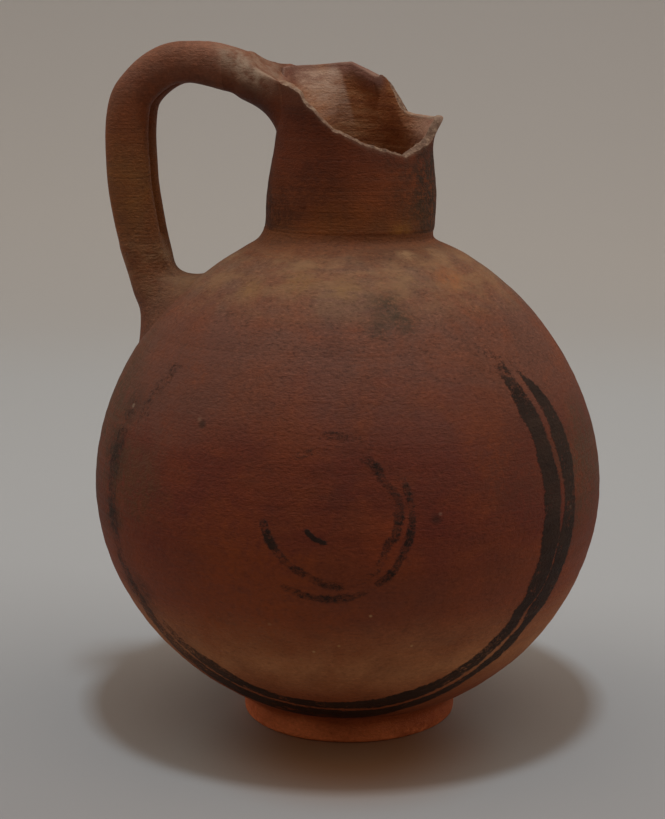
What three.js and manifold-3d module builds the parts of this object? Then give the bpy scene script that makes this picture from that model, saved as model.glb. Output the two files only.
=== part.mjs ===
// A pottery jug with a pinched trefoil mouth: a thrown globe on a ring foot, a
// tall neck whose near side lobe and spout lip are broken away on a slant, and a
// handle of two clay rolls laid side by side from the rim to the shoulder.
// Millimetres, +Z up. The origin is the centre of the foot's underside, the
// spout points to +X and the handle stands at -X.

import * as THREE from "three";
import { mergeVertices } from "three/addons/utils/BufferGeometryUtils.js";
import Module from "manifold-3d";

const wasm = await Module();
wasm.setup();

// Body: one globe, thrown as an open bowl and closed by a shoulder
const bellyRadius = 82.5; // at the widest ring
const bellyHeight = 78.8; // of the widest ring above the table
const shoulderTop = 156.6; // flat seat round the neck opening
const bodyWall = 4.2;
const floorThickness = 5;
const underFullnessShare = 1.93; // curve power of the under half, 2 is an ellipse
const upperFullnessShare = 1.883;
const seamShare = 0.65; // bowl to shoulder join, of the rise from belly to top
const ceilingShare = 0.9; // wall left round the neck opening, of bodyWall

// Ring foot
const footRadius = 35.4;
const footHeight = 6.6;
const footWidth = 8.4;
const footSeatShare = 0.9; // where the flat underside of the bowl ends

// Neck and mouth
const neckRadius = 27.3;
const neckLength = 57.3; // seat to the highest point of the far lobe
const neckWall = 3.8;
const coilWidth = 3.1; // fillet of clay worked in round the foot of the neck
const coilHeight = 3.4;

// Handle
const jugHeight = 220.4; // top of the handle's arch
const rollThickness = 13.3; // of each roll, outside to inside of the arch
const rollWidth = 10.3;
const handleBow = 10.25; // how far the leg stands out from its root
const lugDrop = 8.9; // middle of the rim lug below the rim
const rootShare = 0.686; // height of the root, of the rise from belly to top

// A layer of slip lies between pieces that meet on a curve or a slant
const slipGap = 0.3;

// The neck's outline at four bearings, as shares of neckRadius, at heights that
// are shares of neckLength: spout, pinch, side lobe and back
const lineHeightShares = [0, 0.11, 0.2, 0.29, 0.37, 0.46, 0.52, 0.59, 0.64, 0.68, 0.74, 0.84, 0.92, 1];
const bearingShares = [0, 0.133, 0.278, 0.5]; // of a full turn, from the spout
const lineShares = [
  [1, 1, 1.004, 1.011, 0.996, 0.978, 0.967, 0.99, 1.037, 1.085, 1.125, 1.13, 1.13, 1.13],
  [1, 1, 1, 0.996, 0.978, 0.949, 0.927, 0.897, 0.879, 0.864, 0.85, 0.835, 0.828, 0.828],
  [1, 1, 1.004, 1.007, 1, 0.993, 0.985, 0.982, 0.982, 0.982, 0.985, 0.996, 1.037, 1.084],
  [1, 1, 0.996, 0.982, 0.953, 0.917, 0.89, 0.864, 0.853, 0.849, 0.846, 0.846, 0.854, 0.863],
];
// Wall at the rim as a share of neckWall, thick on the rolled far lobe
const rimWallShares = [0.92, 1.15, 1.3, 0.95];
const lipPowerShare = 5; // the lip thickens only near its edge
// The rim round the mouth: bearing as a share of a turn (negative is the near,
// broken side), height of its inner edge and slant down to its outer edge, both
// as shares of neckLength
const rimShares = [
  [-0.5, 0.95, 0],
  [-0.458, 0.935, 0],
  [-0.425, 0.905, 0.01],
  [-0.354, 0.883, 0.012],
  [-0.324, 0.845, 0.014],
  [-0.3125, 0.789, 0.014],
  [-0.296, 0.756, 0.014],
  [-0.2775, 0.7, 0.014],
  [-0.255, 0.644, 0.014],
  [-0.2286, 0.616, 0.014],
  [-0.198, 0.571, 0.014],
  [-0.163, 0.541, 0.014],
  [-0.1214, 0.515, 0.014],
  [-0.1083, 0.506, 0.014],
  [-0.0833, 0.53, 0.014],
  [-0.0556, 0.557, 0.014],
  [-0.0333, 0.577, 0.018],
  [-0.0139, 0.6, 0.02],
  [0, 0.65, 0.02],
  [0.0125, 0.696, 0.012],
  [0.0417, 0.697, 0.005],
  [0.067, 0.703, 0],
  [0.0975, 0.708, 0],
  [0.121, 0.717, 0],
  [0.15, 0.806, 0],
  [0.173, 0.862, 0],
  [0.1925, 0.897, 0],
  [0.225, 0.94, 0],
  [0.2525, 0.974, 0],
  [0.271, 1, 0],
  [0.293, 0.997, 0],
  [0.342, 0.983, 0],
  [0.412, 0.976, 0],
  [0.458, 0.966, 0],
  [0.5, 0.95, 0],
];

// Middle line of the handle. Leg: shares of handleBow and of the rise from root
// to arch. Arch: shares of the way to the neck and of the drop to the lug.
const legShares = [
  [0.459, 0.221], [0.659, 0.316], [0.81, 0.415], [0.932, 0.513], [0.985, 0.611],
  [1, 0.709], [0.937, 0.782], [0.751, 0.856], [0.38, 0.912],
];
const archShares = [[0.203, 0.629], [0.31, 0.926], [0.438, 1], [0.561, 0.914], [0.668, 0.754]];

// Rings of the root and of the lug: outer edge, inner edge and half width, all
// shares of rollThickness, from the leg's end and from the neck's back
const rootRingShares = [
  [-0.391, -0.481, 0.586, -0.12, 0.8],
  [-0.293, -0.872, 0.759, -0.293, 0.86],
  [-0.218, -1.248, 1.03, -0.451, 0.94],
  [-0.173, -1.632, 1.361, -0.526, 1.02],
  [-0.105, -2.158, 1.662, -0.842, 1.08],
  [0.195, -2.647, 1.925, -1.331, 1.08],
];
const lugRingShares = [
  [-0.707, 0.91, -0.94, -0.195, 0.8],
  [-0.406, 0.827, -0.534, -0.406, 0.84],
  [-0.165, 0.744, -0.233, -0.632, 0.9],
  [0.038, 0.647, 0.023, -0.902, 0.93],
  [0.188, 0.549, 0.173, -0.977, 0.88],
];

const turnSteps = 56; // facets round the thrown pieces
const rimSteps = 80;
const rollSteps = 14;
const turn = Math.PI + Math.PI;

const neckTop = shoulderTop + neckLength;
const openingRadius = neckRadius - neckWall;
const footSeatRadius = footRadius * footSeatShare;
const coilRadius = neckRadius + slipGap + coilWidth;
const half = (a) => a / (1 + 1);

// The globe is a lathe curve of two half superellipses that meet at the belly.
// Each half is as deep as brings it through the edge of its flat seat.
const halfDepth = (rise, seatRadius, power) =>
  rise / (1 - (seatRadius / bellyRadius) ** power) ** (1 / power);
const underDepth = halfDepth(bellyHeight - footHeight, footSeatRadius, underFullnessShare);
const upperDepth = halfDepth(shoulderTop - bellyHeight, coilRadius, upperFullnessShare);

// Radius of the globe at a height, set in from its surface by inset
function globeRadius(height, inset = 0) {
  const above = height > bellyHeight;
  const power = above ? upperFullnessShare : underFullnessShare;
  const depth = (above ? upperDepth : underDepth) - inset;
  const part = Math.min(1, Math.abs(height - bellyHeight) / depth);
  return (bellyRadius - inset) * (1 - part ** power) ** (1 / power);
}

// Height of the globe's surface at a radius, on its under or its upper half
function globeHeight(radius, above, inset = 0) {
  const power = above ? upperFullnessShare : underFullnessShare;
  const depth = (above ? upperDepth : underDepth) - inset;
  const part = (1 - (radius / (bellyRadius - inset)) ** power) ** (1 / power);
  return bellyHeight + (above ? depth : -depth) * part;
}

// Points [radius, height] along the globe between two heights, closer together
// where the curve turns in
function globeCurve(from, to, inset, steps) {
  const bend = (height) => {
    const depth = (height > bellyHeight ? upperDepth : underDepth) - inset;
    return Math.asin(Math.max(-1, Math.min(1, (height - bellyHeight) / depth)));
  };
  const start = bend(from), end = bend(to);
  const points = [];
  for (let i = 0; i <= steps; i++) {
    const angle = start + ((end - start) * i) / steps;
    const depth = (angle > 0 ? upperDepth : underDepth) - inset;
    const height = bellyHeight + depth * Math.sin(angle);
    points.push([globeRadius(height, inset), height]);
  }
  return points;
}

// A solid of revolution from a closed outline of [radius, height] points
function turned(outline) {
  const points = outline.map(([radius, height]) => new THREE.Vector2(radius, height));
  const geometry = new THREE.LatheGeometry(points, turnSteps).rotateX(turn / (1 + 1 + 1 + 1));
  return welded(geometry);
}

function welded(geometry) {
  geometry.deleteAttribute("normal");
  geometry.deleteAttribute("uv");
  return mergeVertices(geometry);
}

// A solid from rings of points. Open: both ends are closed by fans. Closed: the
// last ring joins the first, and each ring is a loop round the wall.
function ringSolid(rings, closed) {
  const count = rings[0].length;
  const positions = [];
  const index = [];
  for (const ring of rings) for (const p of ring) positions.push(p.x, p.y, p.z);
  const spans = closed ? rings.length : rings.length - 1;
  for (let i = 0; i < spans; i++) {
    const a = i * count, b = ((i + 1) % rings.length) * count;
    for (let j = 0; j < count; j++) {
      const k = (j + 1) % count;
      index.push(a + j, b + j, b + k, a + j, b + k, a + k);
    }
  }
  if (!closed) {
    for (const [ring, first, flip] of [[rings[0], 0, true], [rings[rings.length - 1], (rings.length - 1) * count, false]]) {
      const middle = ring.reduce((sum, p) => sum.add(p), new THREE.Vector3()).divideScalar(count);
      const centre = positions.length / middle.toArray().length;
      positions.push(...middle.toArray());
      for (let j = 0; j < count; j++) {
        const k = (j + 1) % count;
        if (flip) index.push(centre, first + j, first + k);
        else index.push(centre, first + k, first + j);
      }
    }
  }
  const geometry = new THREE.BufferGeometry();
  geometry.setAttribute("position", new THREE.Float32BufferAttribute(positions, new THREE.Vector3().toArray().length));
  geometry.setIndex(index);
  return geometry;
}

// One cutting body taken out of another
function cut(geometry, tool) {
  const [a, b] = [geometry, tool].map((g) => new wasm.Manifold(new wasm.Mesh({
    numProp: g.attributes.position.itemSize,
    vertProperties: g.attributes.position.array,
    triVerts: new Uint32Array(g.index.array),
  })));
  const mesh = a.subtract(b).getMesh();
  const result = new THREE.BufferGeometry();
  result.setAttribute("position", new THREE.BufferAttribute(mesh.vertProperties, mesh.numProp));
  result.setIndex(new THREE.BufferAttribute(mesh.triVerts, 1));
  return result;
}

// Value of a table of [place, ...values] rows at a place
function along(table, place, column) {
  let i = 1;
  while (i < table.length - 1 && table[i][0] < place) i++;
  const [a, b] = [table[i - 1], table[i]];
  const part = Math.max(0, Math.min(1, (place - a[0]) / (b[0] - a[0])));
  return a[column] + (b[column] - a[column]) * part;
}

// Blend of the four bearings of the neck at a bearing given as a share of a turn
function blend(values, bearing) {
  const from = Math.abs(bearing);
  let i = 1;
  while (i < bearingShares.length - 1 && bearingShares[i] < from) i++;
  const part = Math.min(1, (from - bearingShares[i - 1]) / (bearingShares[i] - bearingShares[i - 1]));
  const ease = half(1 - Math.cos((part * turn) / (1 + 1)));
  return values[i - 1] + (values[i] - values[i - 1]) * ease;
}

function neckLine(bearing, height) {
  const share = (height - shoulderTop) / neckLength;
  const values = lineShares.map((line) => along(lineHeightShares.map((h, i) => [h, line[i]]), share, 1));
  return neckRadius * blend(values, bearing);
}

// The neck with its mouth, grown by a margin on every side where it serves as
// the cutter for the lug
const outerRowShares = [0, 0.15, 0.3, 0.45, 0.58, 0.7, 0.8, 0.88, 0.95, 1];
const innerRowShares = [1, 0.94, 0.86, 0.74, 0.57, 0.36, 0.14, 0];
const rimRoundShare = 0.2; // rounding of the rim, of the wall
function neckSolid(margin) {
  const rings = [];
  for (let i = 0; i < rimSteps; i++) {
    const bearing = i / rimSteps - half(1);
    const angle = bearing * turn;
    const wall = neckWall * blend(rimWallShares, bearing);
    const inner = shoulderTop + neckLength * along(rimShares, bearing, 1) + margin;
    const outer = inner - neckLength * along(rimShares, bearing, 1 + 1);
    const place = (radius, height) =>
      new THREE.Vector3(radius * Math.cos(angle), radius * Math.sin(angle), height);
    const ring = [];
    const bevel = wall * rimRoundShare;
    for (const share of outerRowShares) {
      const height = shoulderTop - margin + (outer - bevel - shoulderTop + margin) * share;
      ring.push(place(neckLine(bearing, height) + margin, height));
    }
    const top = neckLine(bearing, outer);
    ring.push(place(top + margin - bevel, outer));
    ring.push(place(top - margin - wall + bevel, inner));
    for (const share of innerRowShares) {
      const height = shoulderTop - margin + (inner - bevel - shoulderTop + margin) * share;
      const thickness = neckWall + (wall - neckWall) * share ** lipPowerShare;
      ring.push(place(neckLine(bearing, height) - thickness - margin, height));
    }
    rings.push(ring);
  }
  return ringSolid(rings, true);
}

// A section across the handle from an outer to an inner edge point, both in the
// plane of the arch, as an oval of the given half width about a line at y
const ovalShare = 0.86; // squareness of the sections, 1 is an ellipse
function section(outer, inner, y, halfWidth, steps, limit) {
  const middle = outer.clone().add(inner).multiplyScalar(half(1));
  const reach = outer.clone().sub(middle);
  const points = [];
  for (let i = 0; i < steps; i++) {
    const angle = ((i + half(1)) / steps) * turn;
    const c = Math.cos(angle), s = Math.sin(angle);
    const p = middle.clone().addScaledVector(reach, Math.sign(c) * Math.abs(c) ** ovalShare);
    p.y = limit(y + halfWidth * Math.sign(s) * Math.abs(s) ** ovalShare);
    points.push(p);
  }
  return points;
}

// Middle line of the handle in the plane of the arch
const rootHeight = bellyHeight + (shoulderTop - bellyHeight) * rootShare;
const rootX = -globeRadius(rootHeight);
const archHeight = jugHeight - half(rollThickness);
const neckX = -neckLine(half(1), neckTop - lugDrop);
const lugHeight = neckTop - lugDrop;
const farX = rootX - handleBow;
const middleLine = [
  ...legShares.map(([out, up]) => new THREE.Vector3(rootX - handleBow * out, 0, rootHeight + (archHeight - rootHeight) * up)),
  ...archShares.map(([over, up]) => new THREE.Vector3(farX + (neckX - farX) * over, 0, lugHeight + (archHeight - lugHeight) * up)),
];
const handleCurve = new THREE.CatmullRomCurve3(middleLine, false, "centripetal");

// Outer and inner edge of the handle at a place on its middle line, moved on
// along the line by a distance
const swellShare = 0.06; // extra thickness where the rolls reach the lug
const swellStartShare = 0.8;
function handleEdges(place, shift = 0) {
  const middle = handleCurve.getPointAt(place);
  const ahead = handleCurve.getTangentAt(place);
  middle.addScaledVector(ahead, shift);
  const out = new THREE.Vector3(-ahead.z, 0, ahead.x);
  const swell = 1 + swellShare * Math.max(0, (place - swellStartShare) / (1 - swellStartShare));
  const reach = half(rollThickness) * swell;
  return [middle.clone().addScaledVector(out, reach), middle.clone().addScaledVector(out, -reach)];
}

const rollRings = 20;
const contactShare = 0.04; // how far each roll is pressed flat against the other
function roll(side) {
  const rings = [];
  const middleY = side * half(rollWidth) * (1 - contactShare);
  for (let i = 0; i <= rollRings; i++) {
    const [outer, inner] = handleEdges(i / rollRings);
    rings.push(section(outer, inner, middleY, half(rollWidth) * (1 + contactShare), rollSteps,
      (y) => side * Math.max(0, side * y)));
  }
  return ringSolid(rings, false);
}

const massSteps = 20;
const offset = (from, [x, z]) => from.clone().add(new THREE.Vector3(x, 0, z).multiplyScalar(rollThickness));
const free = (y) => y;
const pairWidth = rollWidth * (1 - contactShare * contactShare);

// The two rolls run into one mass at the root, which stands on the shoulder
function handleRoot() {
  const legEnd = handleCurve.getPointAt(0);
  const rings = rootRingShares.map(([ox, oz, ix, iz, width]) =>
    section(offset(legEnd, [ox, oz]), offset(legEnd, [ix, iz]), 0, rollThickness * width, massSteps, free)).reverse();
  rings.push(section(...handleEdges(0, -slipGap), 0, pairWidth, massSteps, free));
  const globe = turned([
    [0, bellyHeight],
    ...globeCurve(bellyHeight, globeHeight(coilRadius, true, -slipGap), -slipGap, turnSteps / (1 + 1)),
    [0, globeHeight(coilRadius, true, -slipGap)],
  ]);
  return cut(ringSolid(rings, false), globe);
}

// and into a thumbed lug that folds over the back of the rim
function rimLug() {
  const back = new THREE.Vector3(neckX, 0, lugHeight);
  const rings = [section(...handleEdges(1, slipGap), 0, pairWidth, massSteps, free)];
  for (const [ox, oz, ix, iz, width] of lugRingShares)
    rings.push(section(offset(back, [ox, oz]), offset(back, [ix, iz]), 0, rollThickness * width, massSteps, free));
  return cut(ringSolid(rings, false), neckSolid(slipGap));
}

// Thrown pieces, as outlines of [radius, height]
const seamHeight = bellyHeight + (shoulderTop - bellyHeight) * seamShare;
const floorHeight = footHeight + floorThickness;
const floorRadius = globeRadius(floorHeight + half(floorThickness), bodyWall);
const floorEaseShare = 0.92;

const bowlOutline = [
  [0, footHeight],
  ...globeCurve(footHeight, bellyHeight, 0, 9),
  ...globeCurve(bellyHeight, seamHeight, 0, 6).slice(1),
  ...globeCurve(bellyHeight, seamHeight, bodyWall, 5).reverse(),
  ...globeCurve(floorHeight + half(floorThickness), bellyHeight, bodyWall, 7).reverse().slice(1),
  [floorRadius * floorEaseShare, floorHeight + floorThickness * (1 - floorEaseShare)],
  [floorRadius * footSeatShare * floorEaseShare, floorHeight],
  [0, floorHeight],
];

const shoulderOutline = [
  ...globeCurve(seamHeight, shoulderTop, 0, 7),
  [openingRadius, shoulderTop],
  [openingRadius, shoulderTop - bodyWall * ceilingShare],
  ...globeCurve(seamHeight, globeHeight(coilRadius, true, bodyWall), bodyWall, 6).reverse(),
];

// Foot outline: shares of footWidth in from the outside and of footHeight up
const footShares = [[0.16, 0], [0.05, 0.07], [0.01, 0.3], [0, 0.65], [0.01, 0.95]];
const footInsideShares = [[1, 1], [0.93, 0.5], [0.82, 0.1], [0.72, 0]];
const footPoint = ([across, up]) => [footRadius - footWidth * across, footHeight * up];
const footLip = globeHeight(footRadius, false) - slipGap;
const footOutline = [
  ...footShares.map(footPoint),
  [footRadius, footLip],
  [footSeatRadius + slipGap + slipGap, globeHeight(footSeatRadius + slipGap + slipGap, false) - slipGap],
  [footSeatRadius - slipGap, footHeight],
  ...footInsideShares.map(footPoint),
];

// Coil outline: shares of coilWidth out and of coilHeight up
const coilShares = [[1, 0], [0.6, 0.2], [0.3, 0.45], [0.12, 0.72], [0.04, 1], [0, 1], [0, 0]];
const coilOutline = coilShares.map(([out, up]) => [neckRadius + slipGap + coilWidth * out, shoulderTop + coilHeight * up]);

const close = (outline) => [...outline, outline[0]];

const clay = (color, roughness) => new THREE.MeshStandardMaterial({ color, roughness, metalness: 0 });
const bodyClay = clay("#5c3527", 0.86);
const footClay = clay("#7a3f26", 0.82);
const neckClay = clay("#583428", 0.88);
const handleClay = clay("#5f3a28", 0.88);
const lugClay = clay("#6d4a38", 0.9);

const jug = new THREE.Group();
jug.name = "trefoil_jug";
for (const [name, geometry, material] of [
  ["foot_ring", turned(close(footOutline)), footClay],
  ["body_bowl", turned(bowlOutline), bodyClay],
  ["body_shoulder", turned(close(shoulderOutline)), bodyClay],
  ["neck_luting_coil", turned(close(coilOutline)), neckClay],
  ["neck_and_mouth", neckSolid(0), neckClay],
  ["handle_roll_near", roll(-1), handleClay],
  ["handle_roll_far", roll(1), handleClay],
  ["handle_root", handleRoot(), handleClay],
  ["handle_rim_lug", rimLug(), lugClay],
]) {
  const mesh = new THREE.Mesh(geometry, material);
  mesh.name = name;
  jug.add(mesh);
}

export default jug;
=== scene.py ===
"""Looks of a trefoil-mouthed pottery jug: a thrown and closed globe on a ring foot, a
thrown neck whose mouth was pinched while soft and later broken on its near side, and a
handle of two clay rolls. Real sizes are in millimetres and become metres at the end."""

import math
from functools import partial

import bmesh
import bpy
import numpy as np
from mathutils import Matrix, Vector, noise


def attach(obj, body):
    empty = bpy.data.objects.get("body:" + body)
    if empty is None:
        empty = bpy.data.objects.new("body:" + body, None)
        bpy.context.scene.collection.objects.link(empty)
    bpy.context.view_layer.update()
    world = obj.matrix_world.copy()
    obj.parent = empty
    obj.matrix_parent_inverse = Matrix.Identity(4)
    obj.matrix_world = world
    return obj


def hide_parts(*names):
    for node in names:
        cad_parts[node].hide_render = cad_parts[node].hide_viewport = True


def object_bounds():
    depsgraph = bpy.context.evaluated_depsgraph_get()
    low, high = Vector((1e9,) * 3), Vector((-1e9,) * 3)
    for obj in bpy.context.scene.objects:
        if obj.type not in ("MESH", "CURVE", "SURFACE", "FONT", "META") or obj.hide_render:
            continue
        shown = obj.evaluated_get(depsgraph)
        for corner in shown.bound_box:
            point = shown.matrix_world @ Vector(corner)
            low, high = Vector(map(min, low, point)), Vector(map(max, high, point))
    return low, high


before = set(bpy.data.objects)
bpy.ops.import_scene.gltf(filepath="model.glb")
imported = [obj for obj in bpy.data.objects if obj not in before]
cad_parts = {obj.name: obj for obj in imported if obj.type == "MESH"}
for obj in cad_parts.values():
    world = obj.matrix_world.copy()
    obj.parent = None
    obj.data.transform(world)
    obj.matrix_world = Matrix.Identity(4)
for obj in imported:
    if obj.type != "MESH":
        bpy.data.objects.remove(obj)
cad_low, cad_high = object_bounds()

MM = 0.001

# Sizes of the pot, the same as the solids have
BELLY_RADIUS = 82.5
BELLY_HEIGHT = 78.8
SHOULDER_TOP = 156.6
BODY_WALL = 4.2
UNDER_POWER = 1.945
UPPER_POWER = 1.883
SEAM_HEIGHT = 129.37
FLOOR_HEIGHT = 11.6
FOOT_HEIGHT = 6.6
FOOT_SEAT_RADIUS = 31.86
NECK_RADIUS = 27.3
NECK_LENGTH = 57.3
NECK_WALL = 3.8
COIL_WIDTH = 3.1
JUG_HEIGHT = 220.4
ROLL_THICKNESS = 13.3
ROLL_WIDTH = 10.3
HANDLE_BOW = 10.25
LUG_DROP = 8.9
ROOT_SHARE = 0.686
NECK_TOP = SHOULDER_TOP + NECK_LENGTH


def linear(code):
    """An sRGB hex colour as linear RGBA."""
    parts = [int(code[i : i + 2], 16) / 255 for i in (1, 3, 5)]
    return [p / 12.92 if p <= 0.04045 else ((p + 0.055) / 1.055) ** 2.4 for p in parts] + [1.0]


def node(tree, kind, inputs=None, stops=(), **settings):
    """Adds a node with its settings. inputs maps a socket's name or number to a value, to
    a socket to link, or to a node whose main output is linked. stops are the places and
    the colours or numbers of a colour ramp."""
    made = tree.nodes.new(kind)
    for i, (place, value) in enumerate(stops):
        band = made.color_ramp.elements
        element = band[i] if i < 2 else band.new(place)
        element.position = place
        element.color = linear(value) if isinstance(value, str) else (value, value, value, 1)
    for name, value in settings.items():
        setattr(made, name, value)
    for name, value in (inputs or {}).items():
        if isinstance(value, bpy.types.Node):
            value = next(s for s in value.outputs if s.enabled)
        if isinstance(value, bpy.types.NodeSocket):
            tree.links.new(value, made.inputs[name])
        else:
            made.inputs[name].default_value = value
    return made


# Shape rules of the pot


def half_depth(rise, seat_radius, power):
    """Half the height of a whole oval that is as wide as a seat at a distance from its middle."""
    return rise / (1 - (seat_radius / BELLY_RADIUS) ** power) ** (1 / power)


UNDER_DEPTH = half_depth(BELLY_HEIGHT - FOOT_HEIGHT, FOOT_SEAT_RADIUS, UNDER_POWER)
UPPER_DEPTH = half_depth(SHOULDER_TOP - BELLY_HEIGHT, NECK_RADIUS + 0.3 + COIL_WIDTH, UPPER_POWER)


def globe_radius(height, inset=0.0):
    """Radius of the thrown globe at a height, set in from its surface."""
    height = np.asarray(height, float)
    power = np.where(height > BELLY_HEIGHT, UPPER_POWER, UNDER_POWER)
    depth = np.where(height > BELLY_HEIGHT, UPPER_DEPTH, UNDER_DEPTH) - inset
    part = np.clip(np.abs(height - BELLY_HEIGHT) / depth, 0, 1)
    return (BELLY_RADIUS - inset) * (1 - part**power) ** (1 / power)


def globe_height(radius, above, inset=0.0):
    """Height of the globe's surface at a radius, above or under the belly."""
    power = UPPER_POWER if above else UNDER_POWER
    depth = (UPPER_DEPTH if above else UNDER_DEPTH) - inset
    part = (1 - (radius / (BELLY_RADIUS - inset)) ** power) ** (1 / power)
    return BELLY_HEIGHT + (depth if above else -depth) * part


FINE_STEPS = 4000


def globe_line(low, high, inset, step):
    """Points (radius, height) along the globe's outline, about a step apart."""
    ends = []
    for height in (low, high):
        depth = (UPPER_DEPTH if height > BELLY_HEIGHT else UNDER_DEPTH) - inset
        ends.append(math.asin(max(-1, min(1, (height - BELLY_HEIGHT) / depth))))
    angle = np.linspace(*ends, FINE_STEPS)
    depth = np.where(angle > 0, UPPER_DEPTH, UNDER_DEPTH) - inset
    height = BELLY_HEIGHT + depth * np.sin(angle)
    points = np.column_stack([globe_radius(height, inset), height])
    return evenly(points, step)


def spaced(points, count):
    """A polyline with a number of points at even steps along it."""
    run = np.concatenate([[0], np.cumsum(np.linalg.norm(np.diff(points, axis=0), axis=1))])
    places = np.linspace(0, run[-1], count)
    return np.column_stack([np.interp(places, run, values) for values in points.T])


def evenly(points, step):
    """The same polyline with its points about a step apart."""
    points = np.asarray(points, float)
    length = np.linalg.norm(np.diff(points, axis=0), axis=1).sum()
    return spaced(points, max(2, round(length / step) + 1))


# The neck's radius by share of its height, at four bearings in shares of a turn: spout,
# the pinch beside it, side lobe, and back
LINE_HEIGHTS = [0, 0.11, 0.2, 0.29, 0.37, 0.46, 0.52, 0.59, 0.64, 0.68, 0.74, 0.84, 0.92, 1]
BEARINGS = [0, 0.133, 0.278, 0.5]
LINES = [
    [1, 1.004, 1.012, 1.019, 1.004, 0.986, 0.974, 0.994, 1.04, 1.085, 1.125, 1.13, 1.13, 1.13],
    [1, 1, 1, 0.996, 0.978, 0.949, 0.927, 0.897, 0.879, 0.864, 0.85, 0.835, 0.828, 0.828],
    [1, 1, 1.004, 1.007, 1, 0.993, 0.985, 0.982, 0.982, 0.982, 0.985, 0.996, 1.037, 1.084],
    [1, 0.992, 0.984, 0.97, 0.941, 0.905, 0.88, 0.856, 0.846, 0.844, 0.843, 0.846, 0.854, 0.863],
]
# The rim: bearing, height in shares of the neck's, and how far its outer edge lies lower
RIM = np.array(
    [
        [-0.5, 0.95, 0],
        [-0.458, 0.935, 0],
        [-0.425, 0.905, 0.01],
        [-0.354, 0.883, 0.012],
        [-0.324, 0.845, 0.014],
        [-0.3125, 0.789, 0.014],
        [-0.296, 0.756, 0.014],
        [-0.2775, 0.7, 0.014],
        [-0.255, 0.644, 0.014],
        [-0.2286, 0.616, 0.014],
        [-0.198, 0.571, 0.014],
        [-0.163, 0.541, 0.014],
        [-0.1214, 0.515, 0.014],
        [-0.1083, 0.506, 0.014],
        [-0.0833, 0.53, 0.014],
        [-0.0556, 0.557, 0.014],
        [-0.0333, 0.577, 0.018],
        [-0.0139, 0.6, 0.02],
        [0, 0.662, 0.02],
        [0.0125, 0.714, 0.012],
        [0.0417, 0.702, 0.005],
        [0.067, 0.703, 0],
        [0.0975, 0.708, 0],
        [0.121, 0.735, 0.018],
        [0.15, 0.846, 0.04],
        [0.173, 0.903, 0.041],
        [0.1925, 0.927, 0.03],
        [0.207, 0.925, 0.005],
        [0.225, 0.94, 0],
        [0.2525, 0.974, 0],
        [0.271, 1, 0],
        [0.293, 0.997, 0],
        [0.342, 0.983, 0],
        [0.412, 0.976, 0],
        [0.458, 0.966, 0],
        [0.5, 0.95, 0],
    ]
)


LINE_STEPS = 400
EVEN = np.linspace(0, 1, LINE_STEPS + 1)


def blended(values, bearing):
    """Blend of the four lines' values at a bearing in shares of a turn."""
    place = np.abs(np.asarray(bearing, float))
    i = np.clip(np.searchsorted(BEARINGS, place, side="right"), 1, 3)
    low, high = np.take(BEARINGS, i - 1), np.take(BEARINGS, i)
    ease = 0.5 - 0.5 * np.cos(np.pi * np.clip((place - low) / (high - low), 0, 1))
    first = np.take_along_axis(values, (i - 1)[None], 0)[0]
    second = np.take_along_axis(values, i[None], 0)[0]
    return first + (second - first) * ease


def smooth_line(places, values, width):
    """A table as a curve on LINE_STEPS even steps of 0 to 1, rounded over a width."""
    raw = np.interp(EVEN, places, values)
    reach = max(1, int(width * LINE_STEPS))
    kernel = np.hanning(2 * reach + 1)
    before = 2 * raw[0] - raw[reach:0:-1]
    after = 2 * raw[-1] - raw[-2 : -reach - 2 : -1]
    padded = np.concatenate([before, raw, after])
    return np.convolve(padded, kernel / kernel.sum(), mode="valid")


NECK_LINES = [smooth_line(LINE_HEIGHTS, line, 0.035) for line in LINES]


def neck_line(bearing, height):
    """Outer radius of the pinched neck."""
    share = np.clip((np.asarray(height, float) - SHOULDER_TOP) / NECK_LENGTH, 0, 1)
    values = np.array([np.interp(share, EVEN, line) for line in NECK_LINES])
    bearing = np.broadcast_to(bearing, share.shape)
    return NECK_RADIUS * blended(values, bearing)


# Geometry node trees


def new_tree(name, sizes):
    """A geometry tree with a mesh in and out, named inputs and a short way to add nodes."""
    tree = bpy.data.node_groups.new(name, "GeometryNodeTree")
    face = tree.interface
    face.new_socket("Geometry", in_out="INPUT", socket_type="NodeSocketGeometry")
    for title, default in sizes:
        kind = "NodeSocketInt" if isinstance(default, int) else "NodeSocketFloat"
        face.new_socket(title, in_out="INPUT", socket_type=kind).default_value = default
    face.new_socket("Clay", in_out="INPUT", socket_type="NodeSocketMaterial")
    face.new_socket("Geometry", in_out="OUTPUT", socket_type="NodeSocketGeometry")
    return tree, tree.nodes.new("NodeGroupInput").outputs, partial(node, tree)


def finish_tree(tree, geometry, given):
    """Ends a tree in one smooth mesh of its clay."""
    solid = node(tree, "GeometryNodeRealizeInstances", {"Geometry": geometry})
    smooth = node(tree, "GeometryNodeSetShadeSmooth", {"Geometry": solid})
    painted = node(tree, "GeometryNodeSetMaterial", {"Geometry": smooth, "Material": given["Clay"]})
    tree.links.new(painted.outputs[0], tree.nodes.new("NodeGroupOutput").inputs[0])
    return tree


MARK_SIZES = [
    ("Ridge Pitch", 0.0035),
    ("Ridge Depth", 0.0003),
    ("Dent Depth", 0.0006),
    ("Pit Count", 120.0),
    ("Pit Depth", 0.0004),
    ("Seed", 3.0),
]


# How marks are pressed in: how far a ridge runs before it wavers, in metres, the share of
# places without a pit, a pit's edge in shares of its cell, and the marks' mean depth
RIDGE_RUN = 0.09
PITLESS = 0.62
PIT_EDGE = (0.05, 0.17)
MEAN_MARK = 0.42


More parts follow.
